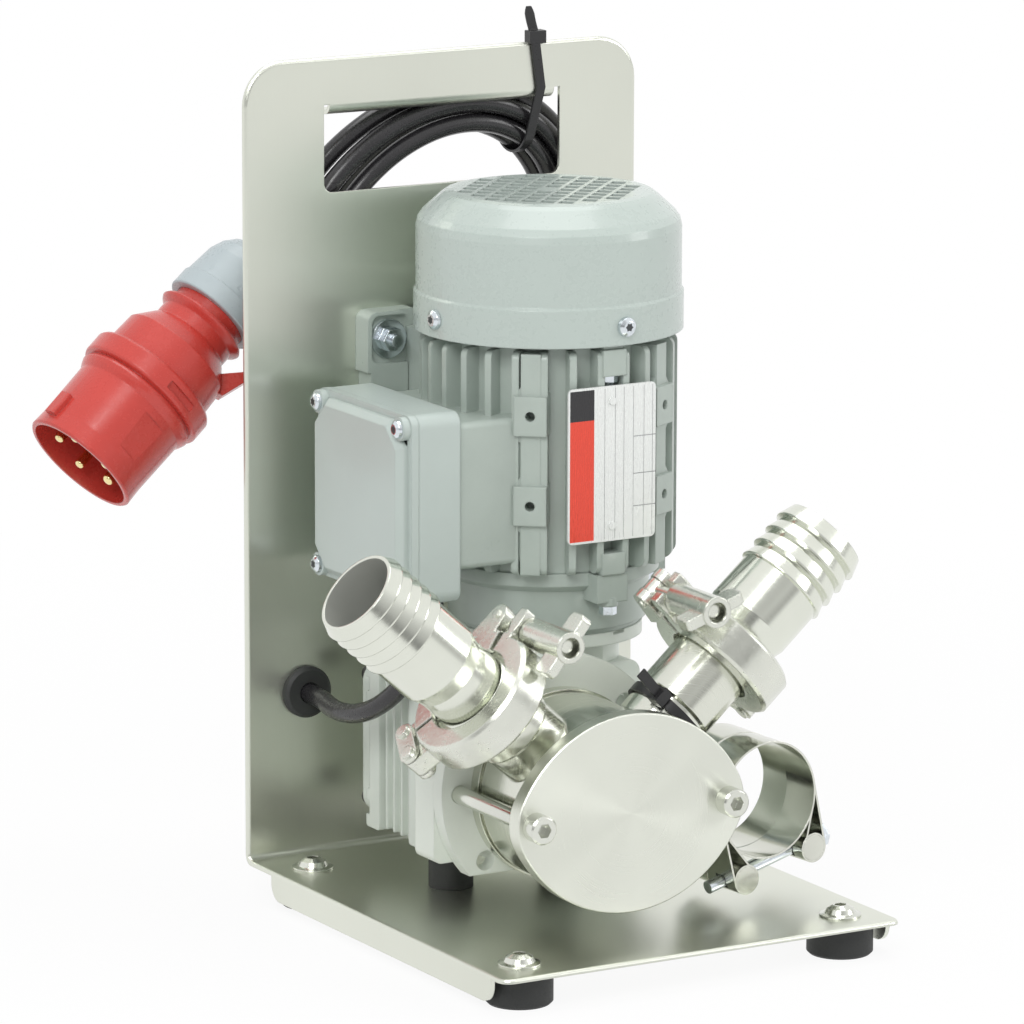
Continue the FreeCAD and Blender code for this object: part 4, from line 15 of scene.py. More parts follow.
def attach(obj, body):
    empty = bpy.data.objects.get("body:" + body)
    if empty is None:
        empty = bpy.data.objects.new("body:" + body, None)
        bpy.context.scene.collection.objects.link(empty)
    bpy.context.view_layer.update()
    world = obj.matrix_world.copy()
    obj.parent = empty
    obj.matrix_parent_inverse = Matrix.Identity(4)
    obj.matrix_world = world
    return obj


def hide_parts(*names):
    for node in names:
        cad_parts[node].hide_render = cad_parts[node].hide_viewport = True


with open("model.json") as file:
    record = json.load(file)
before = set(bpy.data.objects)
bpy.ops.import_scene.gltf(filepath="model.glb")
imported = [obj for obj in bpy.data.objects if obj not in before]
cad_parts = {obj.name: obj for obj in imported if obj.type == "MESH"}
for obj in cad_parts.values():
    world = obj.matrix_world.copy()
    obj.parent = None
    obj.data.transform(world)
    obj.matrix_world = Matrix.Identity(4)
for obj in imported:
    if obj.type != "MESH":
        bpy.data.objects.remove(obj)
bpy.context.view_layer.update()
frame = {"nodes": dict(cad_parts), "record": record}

LOG = logging.getLogger("honey_pump")
Vec3 = tuple[float, float, float]
Span = tuple[float, float]

# Parts of the noise's range that the finishes spread over their own ranges
CLOUD_SPAN: Span = (0.3, 0.7)
MARK_SPAN: Span = (0.2, 0.8)
GLOSS_SPAN: Span = (0.25, 0.75)
CLOUD_DETAIL = 4.0
MARK_NOISE = {"Detail": 3.0, "Roughness": 0.6}
# Shares of a finish's drift: clouds lighten less than they darken, and marks darken a little
LIGHTER_SHARE = 0.5
MARK_SHARE = 0.4
CLOUD_GLOSS_SHARE = 0.5

# Places shared with the solids, in metres
PLATE_FRAME = Vector((0.0205, 0.112, 0.017))
PUMP_AXIS = Vector((0.0, 0.0, 0.0748))
PORT_SIN, PORT_COS = math.sin(math.radians(48.5)), math.cos(math.radians(48.5))
PORT_START = Vector((0.0, -0.060, 0.0748))
MOTOR_AXIS = Vector((0.040, 0.049, 0.0))
PLUG_DIR = Vector((0.7545, 0.0800, 0.6514))
PLUG_MOUTH = PLATE_FRAME + Vector((-0.1657, 0.0437, 0.1848))


class Marks(Enum):
    """How the fine marks of a surface run."""

    EVEN = "even"
    BRUSHED = "brushed"
    TURNED = "turned"


class Graph:
    """Adds and joins the nodes of one shader tree."""

    prefix = "ShaderNode"

    def __init__(self, tree: bpy.types.NodeTree) -> None:
        """Start from an empty tree.

        Args:
            tree: the tree to fill.
        """
        self.tree = tree
        tree.nodes.clear()

    def add(self, kind: str, inputs: dict | None = None, **settings: object) -> bpy.types.Node:
        """Add a node.

        Args:
            kind: the node's type name without its prefix.
            inputs: socket name or number to a value or another node's output.
            settings: properties of the node.

        Returns:
            The new node.
        """
        known = kind.startswith(("Function", "NodeGroup", "ShaderNode"))
        node = self.tree.nodes.new(kind if known else self.prefix + kind)
        for key, value in settings.items():
            setattr(node, key, value)
        for key, value in (inputs or {}).items():
            if isinstance(value, bpy.types.NodeSocket):
                self.tree.links.new(value, node.inputs[key])
            else:
                node.inputs[key].default_value = value
        return node

    def math(self, operation: str, a: object, b: object = 0.0) -> bpy.types.NodeSocket:
        """Join two values with one operation.

        Args:
            operation: the operation's name.
            a: first value or socket.
            b: second value or socket.

        Returns:
            The result's socket.
        """
        return self.add("ShaderNodeMath", {0: a, 1: b}, operation=operation).outputs[0]

    def remap(self, value: object, old: Span, new: Span) -> bpy.types.NodeSocket:
        """Map a value from one range to another, clamped.

        Args:
            value: the value or socket to map.
            old: the range it comes in.
            new: the range it goes out in.

        Returns:
            The result's socket.
        """
        names = {"Value": value, "From Min": old[0], "From Max": old[1], "To Min": new[0], "To Max": new[1]}
        return self.add("MapRange", names).outputs["Result"]


def evaluated_mesh(thing: bpy.types.Object) -> bpy.types.Mesh:
    """Mesh of an object as its modifiers or curve settings leave it.

    Args:
        thing: the object.

    Returns:
        A mesh of its own.
    """
    bpy.context.view_layer.update()
    return bpy.data.meshes.new_from_object(thing.evaluated_get(bpy.context.evaluated_depsgraph_get()))


class ShapeGraph(Graph):
    """Geometry nodes of one trim that repeats or follows a line."""

    prefix = "GeometryNode"

    def __init__(self, name: str, sizes: dict[str, float]) -> None:
        """Start a tree with a geometry input, named sizes and a geometry output.

        Args:
            name: the trim's name.
            sizes: the name of each input to its value, in metres or counts.
        """
        super().__init__(bpy.data.node_groups.new(name, "GeometryNodeTree"))
        sockets = self.tree.interface
        sockets.new_socket("Geometry", in_out="INPUT", socket_type="NodeSocketGeometry")
        sockets.new_socket("Geometry", in_out="OUTPUT", socket_type="NodeSocketGeometry")
        for label in sizes:
            sockets.new_socket(label, in_out="INPUT", socket_type="NodeSocketFloat")
        self.name = name
        self.sizes = sizes
        self.inputs = self.add("NodeGroupInput").outputs

    def make(self, result: bpy.types.NodeSocket, base: bpy.types.Mesh,
             finish: "Finish") -> bpy.types.Object:
        """Run the tree on a base mesh and keep the result as a plain mesh.

        Args:
            result: the socket with the finished geometry.
            base: the points or line that the trim follows.
            finish: what the trim is dressed in.

        Returns:
            The piece, with its place in its mesh.
        """
        real = self.add("RealizeInstances", {0: result}).outputs[0]
        dressed = self.add("SetMaterial", {"Geometry": real, "Material": finish.build()}).outputs[0]
        self.add("NodeGroupOutput", {0: dressed})
        thing = bpy.data.objects.new(self.name, base)
        bpy.context.scene.collection.objects.link(thing)
        modifier = thing.modifiers.new("shape", "NODES")
        modifier.node_group = self.tree
        for item in self.tree.interface.items_tree:
            if item.name in self.sizes:
                modifier[item.identifier] = self.sizes[item.name]
        shape = evaluated_mesh(thing)
        shape.name = self.name
        thing.modifiers.clear()
        thing.data = shape
        bpy.data.meshes.remove(base)
        return thing


@dataclass(frozen=True)
class Finish:
    """A surface finish: its colour, gloss, clouds and fine marks. Lengths are metres."""

    name: str
    colour: Vec3
    roughness: float
    metallic: float = 0.0
    drift: float = 0.10
    cloud: float = 0.030
    marks: Marks = Marks.EVEN
    mark_size: float = 0.0008
    stretch: Vec3 = (1.0, 1.0, 1.0)
    mark_depth: float = 0.00003
    gloss_drift: float = 0.10
    edge: float = 0.0006
    coat: float = 0.0
    anisotropy: float = 0.0
    tangent: str = "Y"
    tangent_turn: float = 0.0
    centre: Vec3 = (0.0, 0.0, 0.0)
    axis: Vec3 = (0.0, 0.0, 1.0)

    def place(self, graph: Graph) -> bpy.types.NodeSocket:
        """Give object coordinates with the finish's own axis as Z.

        Args:
            graph: the material's graph.

        Returns:
            The socket with the turned coordinates.
        """
        where = graph.add("TexCoord").outputs["Object"]
        turn = Vector(self.axis).rotation_difference(Vector((0, 0, 1)))
        shift = -(turn @ Vector(self.centre))
        mapping = {"Vector": where, "Location": shift, "Rotation": turn.to_euler()}
        return graph.add("Mapping", mapping).outputs[0]

    def fine_marks(self, graph: Graph, where: bpy.types.NodeSocket) -> bpy.types.NodeSocket:
        """Fine surface marks from 0 to 1.

        Args:
            graph: the material's graph.
            where: coordinates with the finish's axis as Z.

        Returns:
            The socket with the marks' height.
        """
        scale = 1.0 / self.mark_size
        if self.marks is Marks.TURNED:
            parts = graph.add("SeparateXYZ", {0: where})
            across = graph.add("CombineXYZ", {0: parts.outputs[0], 1: parts.outputs[1]}).outputs[0]
            radius = graph.add("VectorMath", {0: across}, operation="LENGTH").outputs["Value"]
            along = graph.math("ADD", radius, parts.outputs[2])
            return graph.add("TexNoise", {"W": along, "Scale": scale, **MARK_NOISE},
                             noise_dimensions="1D").outputs[0]
        if self.marks is Marks.BRUSHED:
            where = graph.add("Mapping", {"Vector": where, "Scale": self.stretch}).outputs[0]
        return graph.add("TexNoise", {"Vector": where, "Scale": scale, **MARK_NOISE}).outputs[0]

    def tint(self, graph: Graph) -> object:
        """Colour before the clouds: the same all over.

        Args:
            graph: the material's graph.

        Returns:
            The colour or its socket.
        """
        return self.colour

    def gloss(self, graph: Graph, rough: object) -> tuple[object, object]:
        """Metallic share and roughness: the same all over.

        Args:
            graph: the material's graph.
            rough: roughness with its fine marks.

        Returns:
            The metallic value or socket and the roughness socket.
        """
        return self.metallic, rough

    def build(self) -> bpy.types.Material:
        """Make the Blender material.

        Returns:
            The material, made once for each name.
        """
        known = bpy.data.materials.get(self.name)
        if known and known.use_nodes and known.get("honey_pump"):
            return known
        material = bpy.data.materials.new(self.name)
        material["honey_pump"] = True
        material.use_nodes = True
        graph = Graph(material.node_tree)
        where = self.place(graph)
        clouds = graph.add("TexNoise", {"Vector": where, "Scale": 1.0 / self.cloud,
                                        "Detail": CLOUD_DETAIL}).outputs[0]
        marks = self.fine_marks(graph, where)
        rounded = graph.add("Bevel", {"Radius": self.edge}, samples=4).outputs[0]
        tone = graph.remap(clouds, CLOUD_SPAN, (1.0 - self.drift, 1.0 + self.drift * LIGHTER_SHARE))
        darker = graph.remap(marks, MARK_SPAN, (1.0 - self.drift * MARK_SHARE, 1.0))
        tone = graph.math("MULTIPLY", tone, darker)
        colour = graph.add("VectorMath", {0: self.tint(graph), "Scale": tone}, operation="SCALE").outputs[0]
        swing = self.gloss_drift * CLOUD_GLOSS_SHARE
        fine = graph.remap(marks, GLOSS_SPAN, (-self.gloss_drift, self.gloss_drift))
        broad = graph.remap(clouds, CLOUD_SPAN, (self.roughness - swing, self.roughness + swing))
        rough = graph.math("ADD", fine, broad)
        bump = graph.add("Bump", {"Height": marks, "Distance": self.mark_depth, "Normal": rounded})
        metallic, rough = self.gloss(graph, rough)
        shader = graph.add("BsdfPrincipled", {
            "Base Color": colour, "Metallic": metallic, "Roughness": rough, "Normal": bump.outputs[0],
            "Coat Weight": self.coat, "Anisotropic": self.anisotropy})
        if self.anisotropy:
            tangent = graph.add("Tangent", direction_type="RADIAL", axis=self.tangent)
            shader.inputs["Anisotropic Rotation"].default_value = self.tangent_turn
            graph.tree.links.new(tangent.outputs[0], shader.inputs["Tangent"])
        out = graph.add("OutputMaterial")
        graph.tree.links.new(shader.outputs[0], out.inputs[0])
        return material


def dress(thing: bpy.types.Object, finish: Finish) -> None:
    """Give a piece one finish in all its material slots.

    Args:
        thing: the piece.
        finish: its finish.
    """
    material = finish.build()
    if not thing.data.materials:
        thing.data.materials.append(material)
    for slot in thing.material_slots:
        slot.link = "OBJECT"
        slot.material = material


def port_axis(side: int) -> Vec3:
    """Direction of a hose port.

    Args:
        side: -1 for the left port and 1 for the right one.

    Returns:
        The unit direction out of the pump.
    """
    return (side * PORT_SIN, 0.0, PORT_COS)


@dataclass(frozen=True)
class BoredSteel(Finish):
    """Turned tube: bright outside; on the wall that faces its axis, a dull plain grey stands in as painted
    light inside the bore.
    """

    # Dull grey painted on the bore wall as painted light: the wall is the same steel as the outside.
    bore_painted_light: Vec3 = (0.40, 0.41, 0.375)
    bore_metallic: float = 0.15
    bore_roughness: float = 0.42
    inward: float = -0.005

    def bore(self, graph: Graph) -> bpy.types.NodeSocket:
        """Mask that is 1 where the surface faces the tube's axis.

        Args:
            graph: the material's graph.

        Returns:
            The mask's socket.
        """
        spot = graph.add("TexCoord").outputs
        away = graph.add("VectorMath", {0: spot["Object"], 1: self.centre}, operation="SUBTRACT").outputs[0]
        along = graph.add("VectorMath", {0: away, 1: self.axis}, operation="DOT_PRODUCT").outputs["Value"]
        on_axis = graph.add("VectorMath", {0: self.axis, "Scale": along}, operation="SCALE").outputs[0]
        radial = graph.add("VectorMath", {0: away, 1: on_axis}, operation="SUBTRACT").outputs[0]
        facing = graph.add("VectorMath", {0: radial, 1: spot["Normal"]}, operation="DOT_PRODUCT")
        return graph.math("LESS_THAN", facing.outputs["Value"], self.inward)

    def tint(self, graph: Graph) -> bpy.types.NodeSocket:
        """Colour of the outside, or the painted light grey of the bore.

        Args:
            graph: the material's graph.

        Returns:
            The colour's socket.
        """
        # The bore gets painted light: a plain grey in place of the steel's own dark reflection.
        inside = (*self.bore_painted_light, 1.0)
        return graph.add("MixRGB", {0: self.bore(graph), 1: (*self.colour, 1.0), 2: inside}).outputs[0]

    def gloss(self, graph: Graph, rough: object) -> tuple[object, object]:
        """Metallic share and roughness of the outside, or the dull ones of the bore that let its painted
        light grey show.

        Args:
            graph: the material's graph.
            rough: roughness with its fine marks.

        Returns:
            The metallic socket and the roughness socket.
        """
        bore = self.bore(graph)
        metallic = graph.remap(bore, (0.0, 1.0), (self.metallic, self.bore_metallic))
        return metallic, graph.math("MAXIMUM", rough, graph.math("MULTIPLY", bore, self.bore_roughness))


@dataclass(frozen=True)
class PlatePrint(Finish):
    """Rating plate without words: a coloured band and a ruled silver field."""

    low: Vec3 = (0.0154, -0.0112, 0.178)
    high: Vec3 = (0.0610, -0.0112, 0.249)
    band: float = 0.295
    block: float = 0.79
    rule: float = 0.006
    upright_rules: tuple[float, ...] = (0.416, 0.536, 0.635, 0.744, 0.864, 0.963)
    cross_rules: tuple[float, ...] = (0.21, 0.42, 0.66)
    cells_from: float = 0.744
    side_margin: float = 0.02
    end_margin: float = 0.015
    band_colour: Vec3 = (0.78, 0.075, 0.045)
    block_colour: Vec3 = (0.035, 0.034, 0.036)
    rule_colour: Vec3 = (0.30, 0.31, 0.31)

    def near(self, graph: Graph, value: bpy.types.NodeSocket,
             places: Sequence[float]) -> bpy.types.NodeSocket:
        """Mask that is 1 on thin lines at the places.

        Args:
            graph: the material's graph.
            value: distance across the plate, from 0 to 1.
            places: where the lines lie.

        Returns:
            The mask's socket.
        """
        mask = None
        for place in places:
            line = graph.add("Math", {0: value, 1: place, 2: self.rule / 2}, operation="COMPARE").outputs[0]
            mask = line if mask is None else graph.math("MAXIMUM", mask, line)
        return mask

    def tint(self, graph: Graph) -> bpy.types.NodeSocket:
        """Colour of the print, by the place on the plate.

        Args:
            graph: the material's graph.

        Returns:
            The colour's socket.
        """
        where = graph.add("SeparateXYZ", {0: graph.add("TexCoord").outputs["Object"]}).outputs
        across = graph.remap(where[0], (self.low[0], self.high[0]), (0.0, 1.0))
        up = graph.remap(where[2], (self.low[2], self.high[2]), (0.0, 1.0))
        cells = graph.math("MULTIPLY", self.near(graph, up, self.cross_rules),
                           graph.math("GREATER_THAN", across, self.cells_from))
        rules = graph.math("MAXIMUM", self.near(graph, across, self.upright_rules), cells)
        in_band = graph.math("MULTIPLY", graph.math("LESS_THAN", across, self.band),
                             graph.math("GREATER_THAN", across, self.side_margin))
        inside = graph.math("MULTIPLY", graph.math("LESS_THAN", up, 1.0 - self.end_margin),
                            graph.math("GREATER_THAN", up, self.end_margin))
        band = graph.math("MULTIPLY", in_band, inside)
        in_block = graph.math("GREATER_THAN", up, self.block)
        band_tone = graph.add("MixRGB", {0: in_block, 1: (*self.band_colour, 1.0),
                                         2: (*self.block_colour, 1.0)}).outputs[0]
        field_tone = graph.add("MixRGB", {0: graph.math("MULTIPLY", rules, inside), 1: (*self.colour, 1.0),
                                          2: (*self.rule_colour, 1.0)}).outputs[0]
        printed = graph.add("MixRGB", {0: band, 1: field_tone, 2: band_tone}).outputs[0]
        rivet = graph.math("LESS_THAN", where[1], self.low[1])
        return graph.add("MixRGB", {0: rivet, 1: printed, 2: (*self.colour, 1.0)}).outputs[0]


SHEET_STEEL = Finish("brushed_sheet", (0.755, 0.775, 0.690), 0.31, metallic=1.0, drift=0.04, cloud=0.09,
                     marks=Marks.BRUSHED, mark_size=0.0006, stretch=(1.0, 0.25, 0.04), mark_depth=0.0000015,
                     gloss_drift=0.02, anisotropy=0.55, tangent="X", tangent_turn=0.25)
COVER_STEEL = Finish("face_turned_cover", (0.775, 0.795, 0.715), 0.30, metallic=1.0, drift=0.03,
                     marks=Marks.TURNED, mark_size=0.0005, mark_depth=0.0000015, gloss_drift=0.03,
                     anisotropy=0.85, centre=tuple(PUMP_AXIS), axis=(0.0, 1.0, 0.0))
BARREL_STEEL = Finish("turned_barrel", (0.74, 0.755, 0.675), 0.20, metallic=1.0, drift=0.06,
                      marks=Marks.TURNED, mark_size=0.0006, mark_depth=0.000004,
                      centre=tuple(PUMP_AXIS), axis=(0.0, 1.0, 0.0))
TAIL_STEEL = {side: BoredSteel(f"turned_tail_{word}", (0.765, 0.785, 0.705), 0.17, metallic=1.0, drift=0.05,
                           marks=Marks.TURNED, mark_size=0.0009, mark_depth=0.000005, gloss_drift=0.05,
                           centre=tuple(PORT_START), axis=port_axis(side))
              for side, word in ((-1, "left"), (1, "right"))}
CAST_STEEL = Finish("tumbled_cast_steel", (0.74, 0.755, 0.685), 0.25, metallic=1.0, drift=0.06, cloud=0.016,
                    mark_size=0.0030, mark_depth=0.00004, gloss_drift=0.05, edge=0.0012)
BAND_STEEL = Finish("rolled_band_steel", (0.70, 0.71, 0.64), 0.16, metallic=1.0, mark_size=0.0005,
                    mark_depth=0.000003, gloss_drift=0.05, edge=0.0003)
BOLT_STEEL = Finish("bright_bolt_steel", (0.74, 0.755, 0.69), 0.18, metallic=1.0, mark_size=0.0012,
                    mark_depth=0.00001, gloss_drift=0.06)
ZINC = Finish("bright_zinc", (0.74, 0.79, 0.83), 0.17, metallic=1.0, drift=0.08, cloud=0.004,
              mark_size=0.0009, mark_depth=0.00001)
BLACKENED = Finish("blackened_bolts", (0.06, 0.06, 0.06), 0.40, metallic=0.6)
SHAFT_STEEL = Finish("ground_shaft_steel", (0.55, 0.55, 0.55), 0.20, metallic=1.0)
DARK_STEEL = Finish("hardened_steel", (0.40, 0.40, 0.39), 0.28, metallic=1.0)
BRONZE = Finish("cut_bronze", (0.66, 0.42, 0.17), 0.26, metallic=1.0, mark_size=0.0010)
BRASS = Finish("bright_brass", (0.93, 0.80, 0.42), 0.16, metallic=1.0, mark_size=0.0004, edge=0.0004)
REDUCER_PAINT = Finish("silver_grey_casting", (0.66, 0.71, 0.65), 0.42, drift=0.05, cloud=0.02,
                       mark_size=0.0016, mark_depth=0.00003, edge=0.0012, coat=0.10)
FLANGE_PAINT = Finish("pale_grey_casting", (0.74, 0.785, 0.715), 0.45, drift=0.04, cloud=0.02,
                      mark_size=0.0014, mark_depth=0.00004, edge=0.0010)
MOTOR_PAINT = Finish("grey_motor_paint", (0.415, 0.475, 0.432), 0.34, drift=0.05, cloud=0.02,
                     mark_size=0.0018, mark_depth=0.00002, gloss_drift=0.06, edge=0.0011, coat=0.25)
COVER_PAINT = Finish("grey_cover_paint", (0.455, 0.522, 0.487), 0.28, drift=0.02, mark_size=0.0030,
                     mark_depth=0.000003, gloss_drift=0.02, edge=0.0009, coat=0.30)
BOX_PLASTIC = Finish("grey_box_moulding", (0.475, 0.540, 0.510), 0.34, drift=0.03, mark_size=0.0016,
                     mark_depth=0.000015, gloss_drift=0.05, edge=0.0013, coat=0.10)
GLAND_PLASTIC = Finish("dark_gland_moulding", (0.05, 0.053, 0.056), 0.42)
PLATE_FOIL = PlatePrint("blank_plate_print", (0.80, 0.82, 0.80), 0.30, metallic=0.25, drift=0.03,
                        marks=Marks.BRUSHED, stretch=(1.0, 1.0, 0.08), mark_size=0.0006,
                        mark_depth=0.000003, edge=0.0002)
RUBBER = Finish("matt_black_rubber", (0.028, 0.030, 0.029), 0.60, drift=0.20, mark_depth=0.00003)
WHITE_RUBBER = Finish("white_seal_rubber", (0.72, 0.71, 0.67), 0.55)
CORE = Finish("lacquered_core", (0.10, 0.07, 0.05), 0.45, metallic=0.3)
FAN_PLASTIC = Finish("black_fan_moulding", (0.02, 0.02, 0.022), 0.45)
NYLON = Finish("black_nylon", (0.018, 0.018, 0.019), 0.34, drift=0.15, mark_size=0.0010, mark_depth=0.00001,
               edge=0.0003)
SHEATH = Finish("black_lead_sheath", (0.020, 0.019, 0.021), 0.26, drift=0.20, cloud=0.02, mark_size=0.0014,
                mark_depth=0.00001, coat=0.25)
PLUG_RED = Finish("red_plug_moulding", (0.54, 0.050, 0.038), 0.27, drift=0.04, mark_size=0.0030,
                  mark_depth=0.000006, gloss_drift=0.03, edge=0.0009, coat=0.2)
PLUG_GREY = Finish("grey_plug_nut_moulding", (0.42, 0.48, 0.50), 0.34, drift=0.04, mark_size=0.0015,
                   mark_depth=0.00001, edge=0.0009)
RECESS = Finish("shaded_screw_recess", (0.10, 0.105, 0.11), 0.45, metallic=1.0, edge=0.0001)

FINISH_OF_SLOT = {
    "stainless_sheet": SHEET_STEEL, "stainless_turned": BARREL_STEEL, "stainless_cast": CAST_STEEL,
    "stainless_band": BAND_STEEL, "stainless_bolt": BOLT_STEEL, "zinc": ZINC, "black_bolt": BLACKENED,
    "rubber_black": RUBBER, "reducer_paint": REDUCER_PAINT, "motor_paint": MOTOR_PAINT,
    "fan_cover_paint": COVER_PAINT, "box_plastic": BOX_PLASTIC, "gland_plastic": GLAND_PLASTIC,
    "plate_foil": PLATE_FOIL, "bearing_steel": SHAFT_STEEL, "worm_steel": DARK_STEEL,
    "wheel_bronze": BRONZE, "shaft_steel": SHAFT_STEEL, "core_steel": CORE, "fan_plastic": FAN_PLASTIC,
    "impeller_rubber": RUBBER, "seal_rubber": WHITE_RUBBER, "tie_black": NYLON, "lead_black": SHEATH,
    "plug_red": PLUG_RED, "plug_grey": PLUG_GREY, "pin_brass": BRASS,
}
FINISH_OF_NODE = {
    "pump_cover": COVER_STEEL, "output_flange": FLANGE_PAINT, "hose_tail_left": TAIL_STEEL[-1],
    "hose_tail_right": TAIL_STEEL[1],
}


@dataclass
class Studio:
    """Camera at the photograph's angle, soft lamps, white ground and backdrop."""

    position: Vec3 = (-1.5205, -2.6122, 0.8259)
    target: Vec3 = (-0.00025, 0.0120, 0.19096)
    roll: float = math.radians(0.17)
    lens: float = 242.43
    sensor: float = 36.0
    view_end: float = 20.0
    aim: Vec3 = (0.0, 0.0, 0.2)
    ambient: float = 0.58
    room_shade: float = 0.50
    room_span: Span = (0.60, 0.97)
    horizon_shade: float = 0.55
    horizon_height: float = 0.08
    horizon_span: Span = (0.02, 0.22)
    front_span: Span = (-0.5, 0.1)
    floor_half: float = 4.0
    floor_tone: float = 0.82
    ground_share: float = 0.91
    ground_span: Span = (0.3, 0.9)
    lamps: Sequence[tuple[str, Vec3, float, float]] = (
        ("key", (-1.3, -1.3, 1.7), 1.3, 26.0),
        ("fill", (1.9, -1.2, 1.1), 1.2, 12.0),
        ("top", (0.2, 0.3, 2.2), 1.6, 16.0),
    )

    def camera(self) -> None:
        """Place the camera and make it the scene's own."""
        data = bpy.data.cameras.new("camera")
        data.lens = self.lens
        data.sensor_width = self.sensor
        data.clip_end = self.view_end
        thing = bpy.data.objects.new("camera", data)
        bpy.context.scene.collection.objects.link(thing)
        look = Vector(self.target) - Vector(self.position)
        turn = look.to_track_quat("-Z", "Y").to_matrix().to_4x4()
        thing.matrix_world = Matrix.Translation(self.position) @ turn @ Matrix.Rotation(self.roll, 4, "Z")
        bpy.context.scene.camera = thing

    def lights(self) -> None:
        """Hang the soft lamps, each aimed at the pump."""
        for name, place, size, power in self.lamps:
            data = bpy.data.lights.new(name, "AREA")
            data.shape = "DISK"
            data.size = size
            data.energy = power
            thing = bpy.data.objects.new(name, data)
            bpy.context.scene.collection.objects.link(thing)
            thing.location = place
            look = Vector(self.aim) - Vector(place)
            thing.rotation_euler = look.to_track_quat("-Z", "Y").to_euler()

    @staticmethod
    def seen(graph: Graph) -> bpy.types.NodeSocket:
        """Tell the rays that show the surroundings from those that light the pump.

        Args:
            graph: the shader's graph.

        Returns:
            A socket that is 1 for camera, glossy and transmission rays.
        """
        path = graph.add("LightPath").outputs
        both = graph.math("MAXIMUM", path["Is Camera Ray"], path["Is Glossy Ray"])
        return graph.math("MAXIMUM", both, path["Is Transmission Ray"])

    def world(self) -> None:
        """White backdrop where it is seen, and plain soft light elsewhere."""
        world = bpy.data.worlds.new("studio")
        world.use_nodes = True
        bpy.context.scene.world = world
        graph = Graph(world.node_tree)
        path = graph.add("LightPath").outputs
        way = graph.add("TexCoord").outputs["Generated"]
        parts = graph.add("SeparateXYZ", {0: way}).outputs
        behind = Vector(self.position).normalized()
        toward = graph.add("VectorMath", {0: way, 1: behind}, operation="DOT_PRODUCT").outputs["Value"]
        room = graph.remap(toward, self.room_span, (1.0, self.room_shade))
        height = graph.math("ABSOLUTE", graph.math("SUBTRACT", parts[2], self.horizon_height))
        horizon = graph.remap(height, self.horizon_span, (self.horizon_shade, 1.0))
        front = graph.remap(parts[1], self.front_span, (0.0, 1.0))
        band = graph.math("MAXIMUM", horizon, front)
        mirrored = graph.math("MULTIPLY", room, band)
        plain = graph.add("MixRGB", {0: self.seen(graph), 1: (*(self.ambient,) * 3, 1.0),
                                     2: mirrored}).outputs[0]
        white = (1.0, 1.0, 1.0, 1.0)
        shown = graph.add("MixRGB", {0: path["Is Camera Ray"], 1: plain, 2: white}).outputs[0]
        back = graph.add("Background", {"Color": shown, "Strength": 1.0})
        out = graph.add("OutputWorld")
        graph.tree.links.new(back.outputs[0], out.inputs[0])

    def floor(self) -> None:
        """Lay the pale floor, which keeps the object's shadow."""
        mesh = bpy.data.meshes.new("floor")
        half = self.floor_half
        edge = [(-half, -half, 0), (half, -half, 0), (half, half, 0), (-half, half, 0)]
        mesh.from_pydata(edge, [], [(0, 1, 2, 3)])
        thing = bpy.data.objects.new("floor", mesh)
        bpy.context.scene.collection.objects.link(thing)
        material = bpy.data.materials.new("pale_floor")
        material.use_nodes = True
        graph = Graph(material.node_tree)
        matt = graph.add("BsdfDiffuse", {"Color": (*(self.floor_tone,) * 3, 1.0)})
        glow = graph.add("Emission", {"Color": (1.0, 1.0, 1.0, 1.0), "Strength": 1.0})
        away = graph.add("VectorMath", {0: graph.add("TexCoord").outputs["Object"]}, operation="LENGTH")
        ground = graph.remap(away.outputs["Value"], self.ground_span, (self.ground_share, 1.0))
        share = graph.math("MULTIPLY", self.seen(graph), ground)
        both = graph.add("MixShader", {0: share, 1: matt.outputs[0], 2: glow.outputs[0]})
        out = graph.add("OutputMaterial")
        graph.tree.links.new(both.outputs[0], out.inputs[0])
        mesh.materials.append(material)

    def build(self) -> None:
        """Make camera, lamps, backdrop and floor."""
        self.camera()
        self.lights()
        self.world()
        self.floor()
        bpy.context.scene.view_settings.view_transform = "Standard"


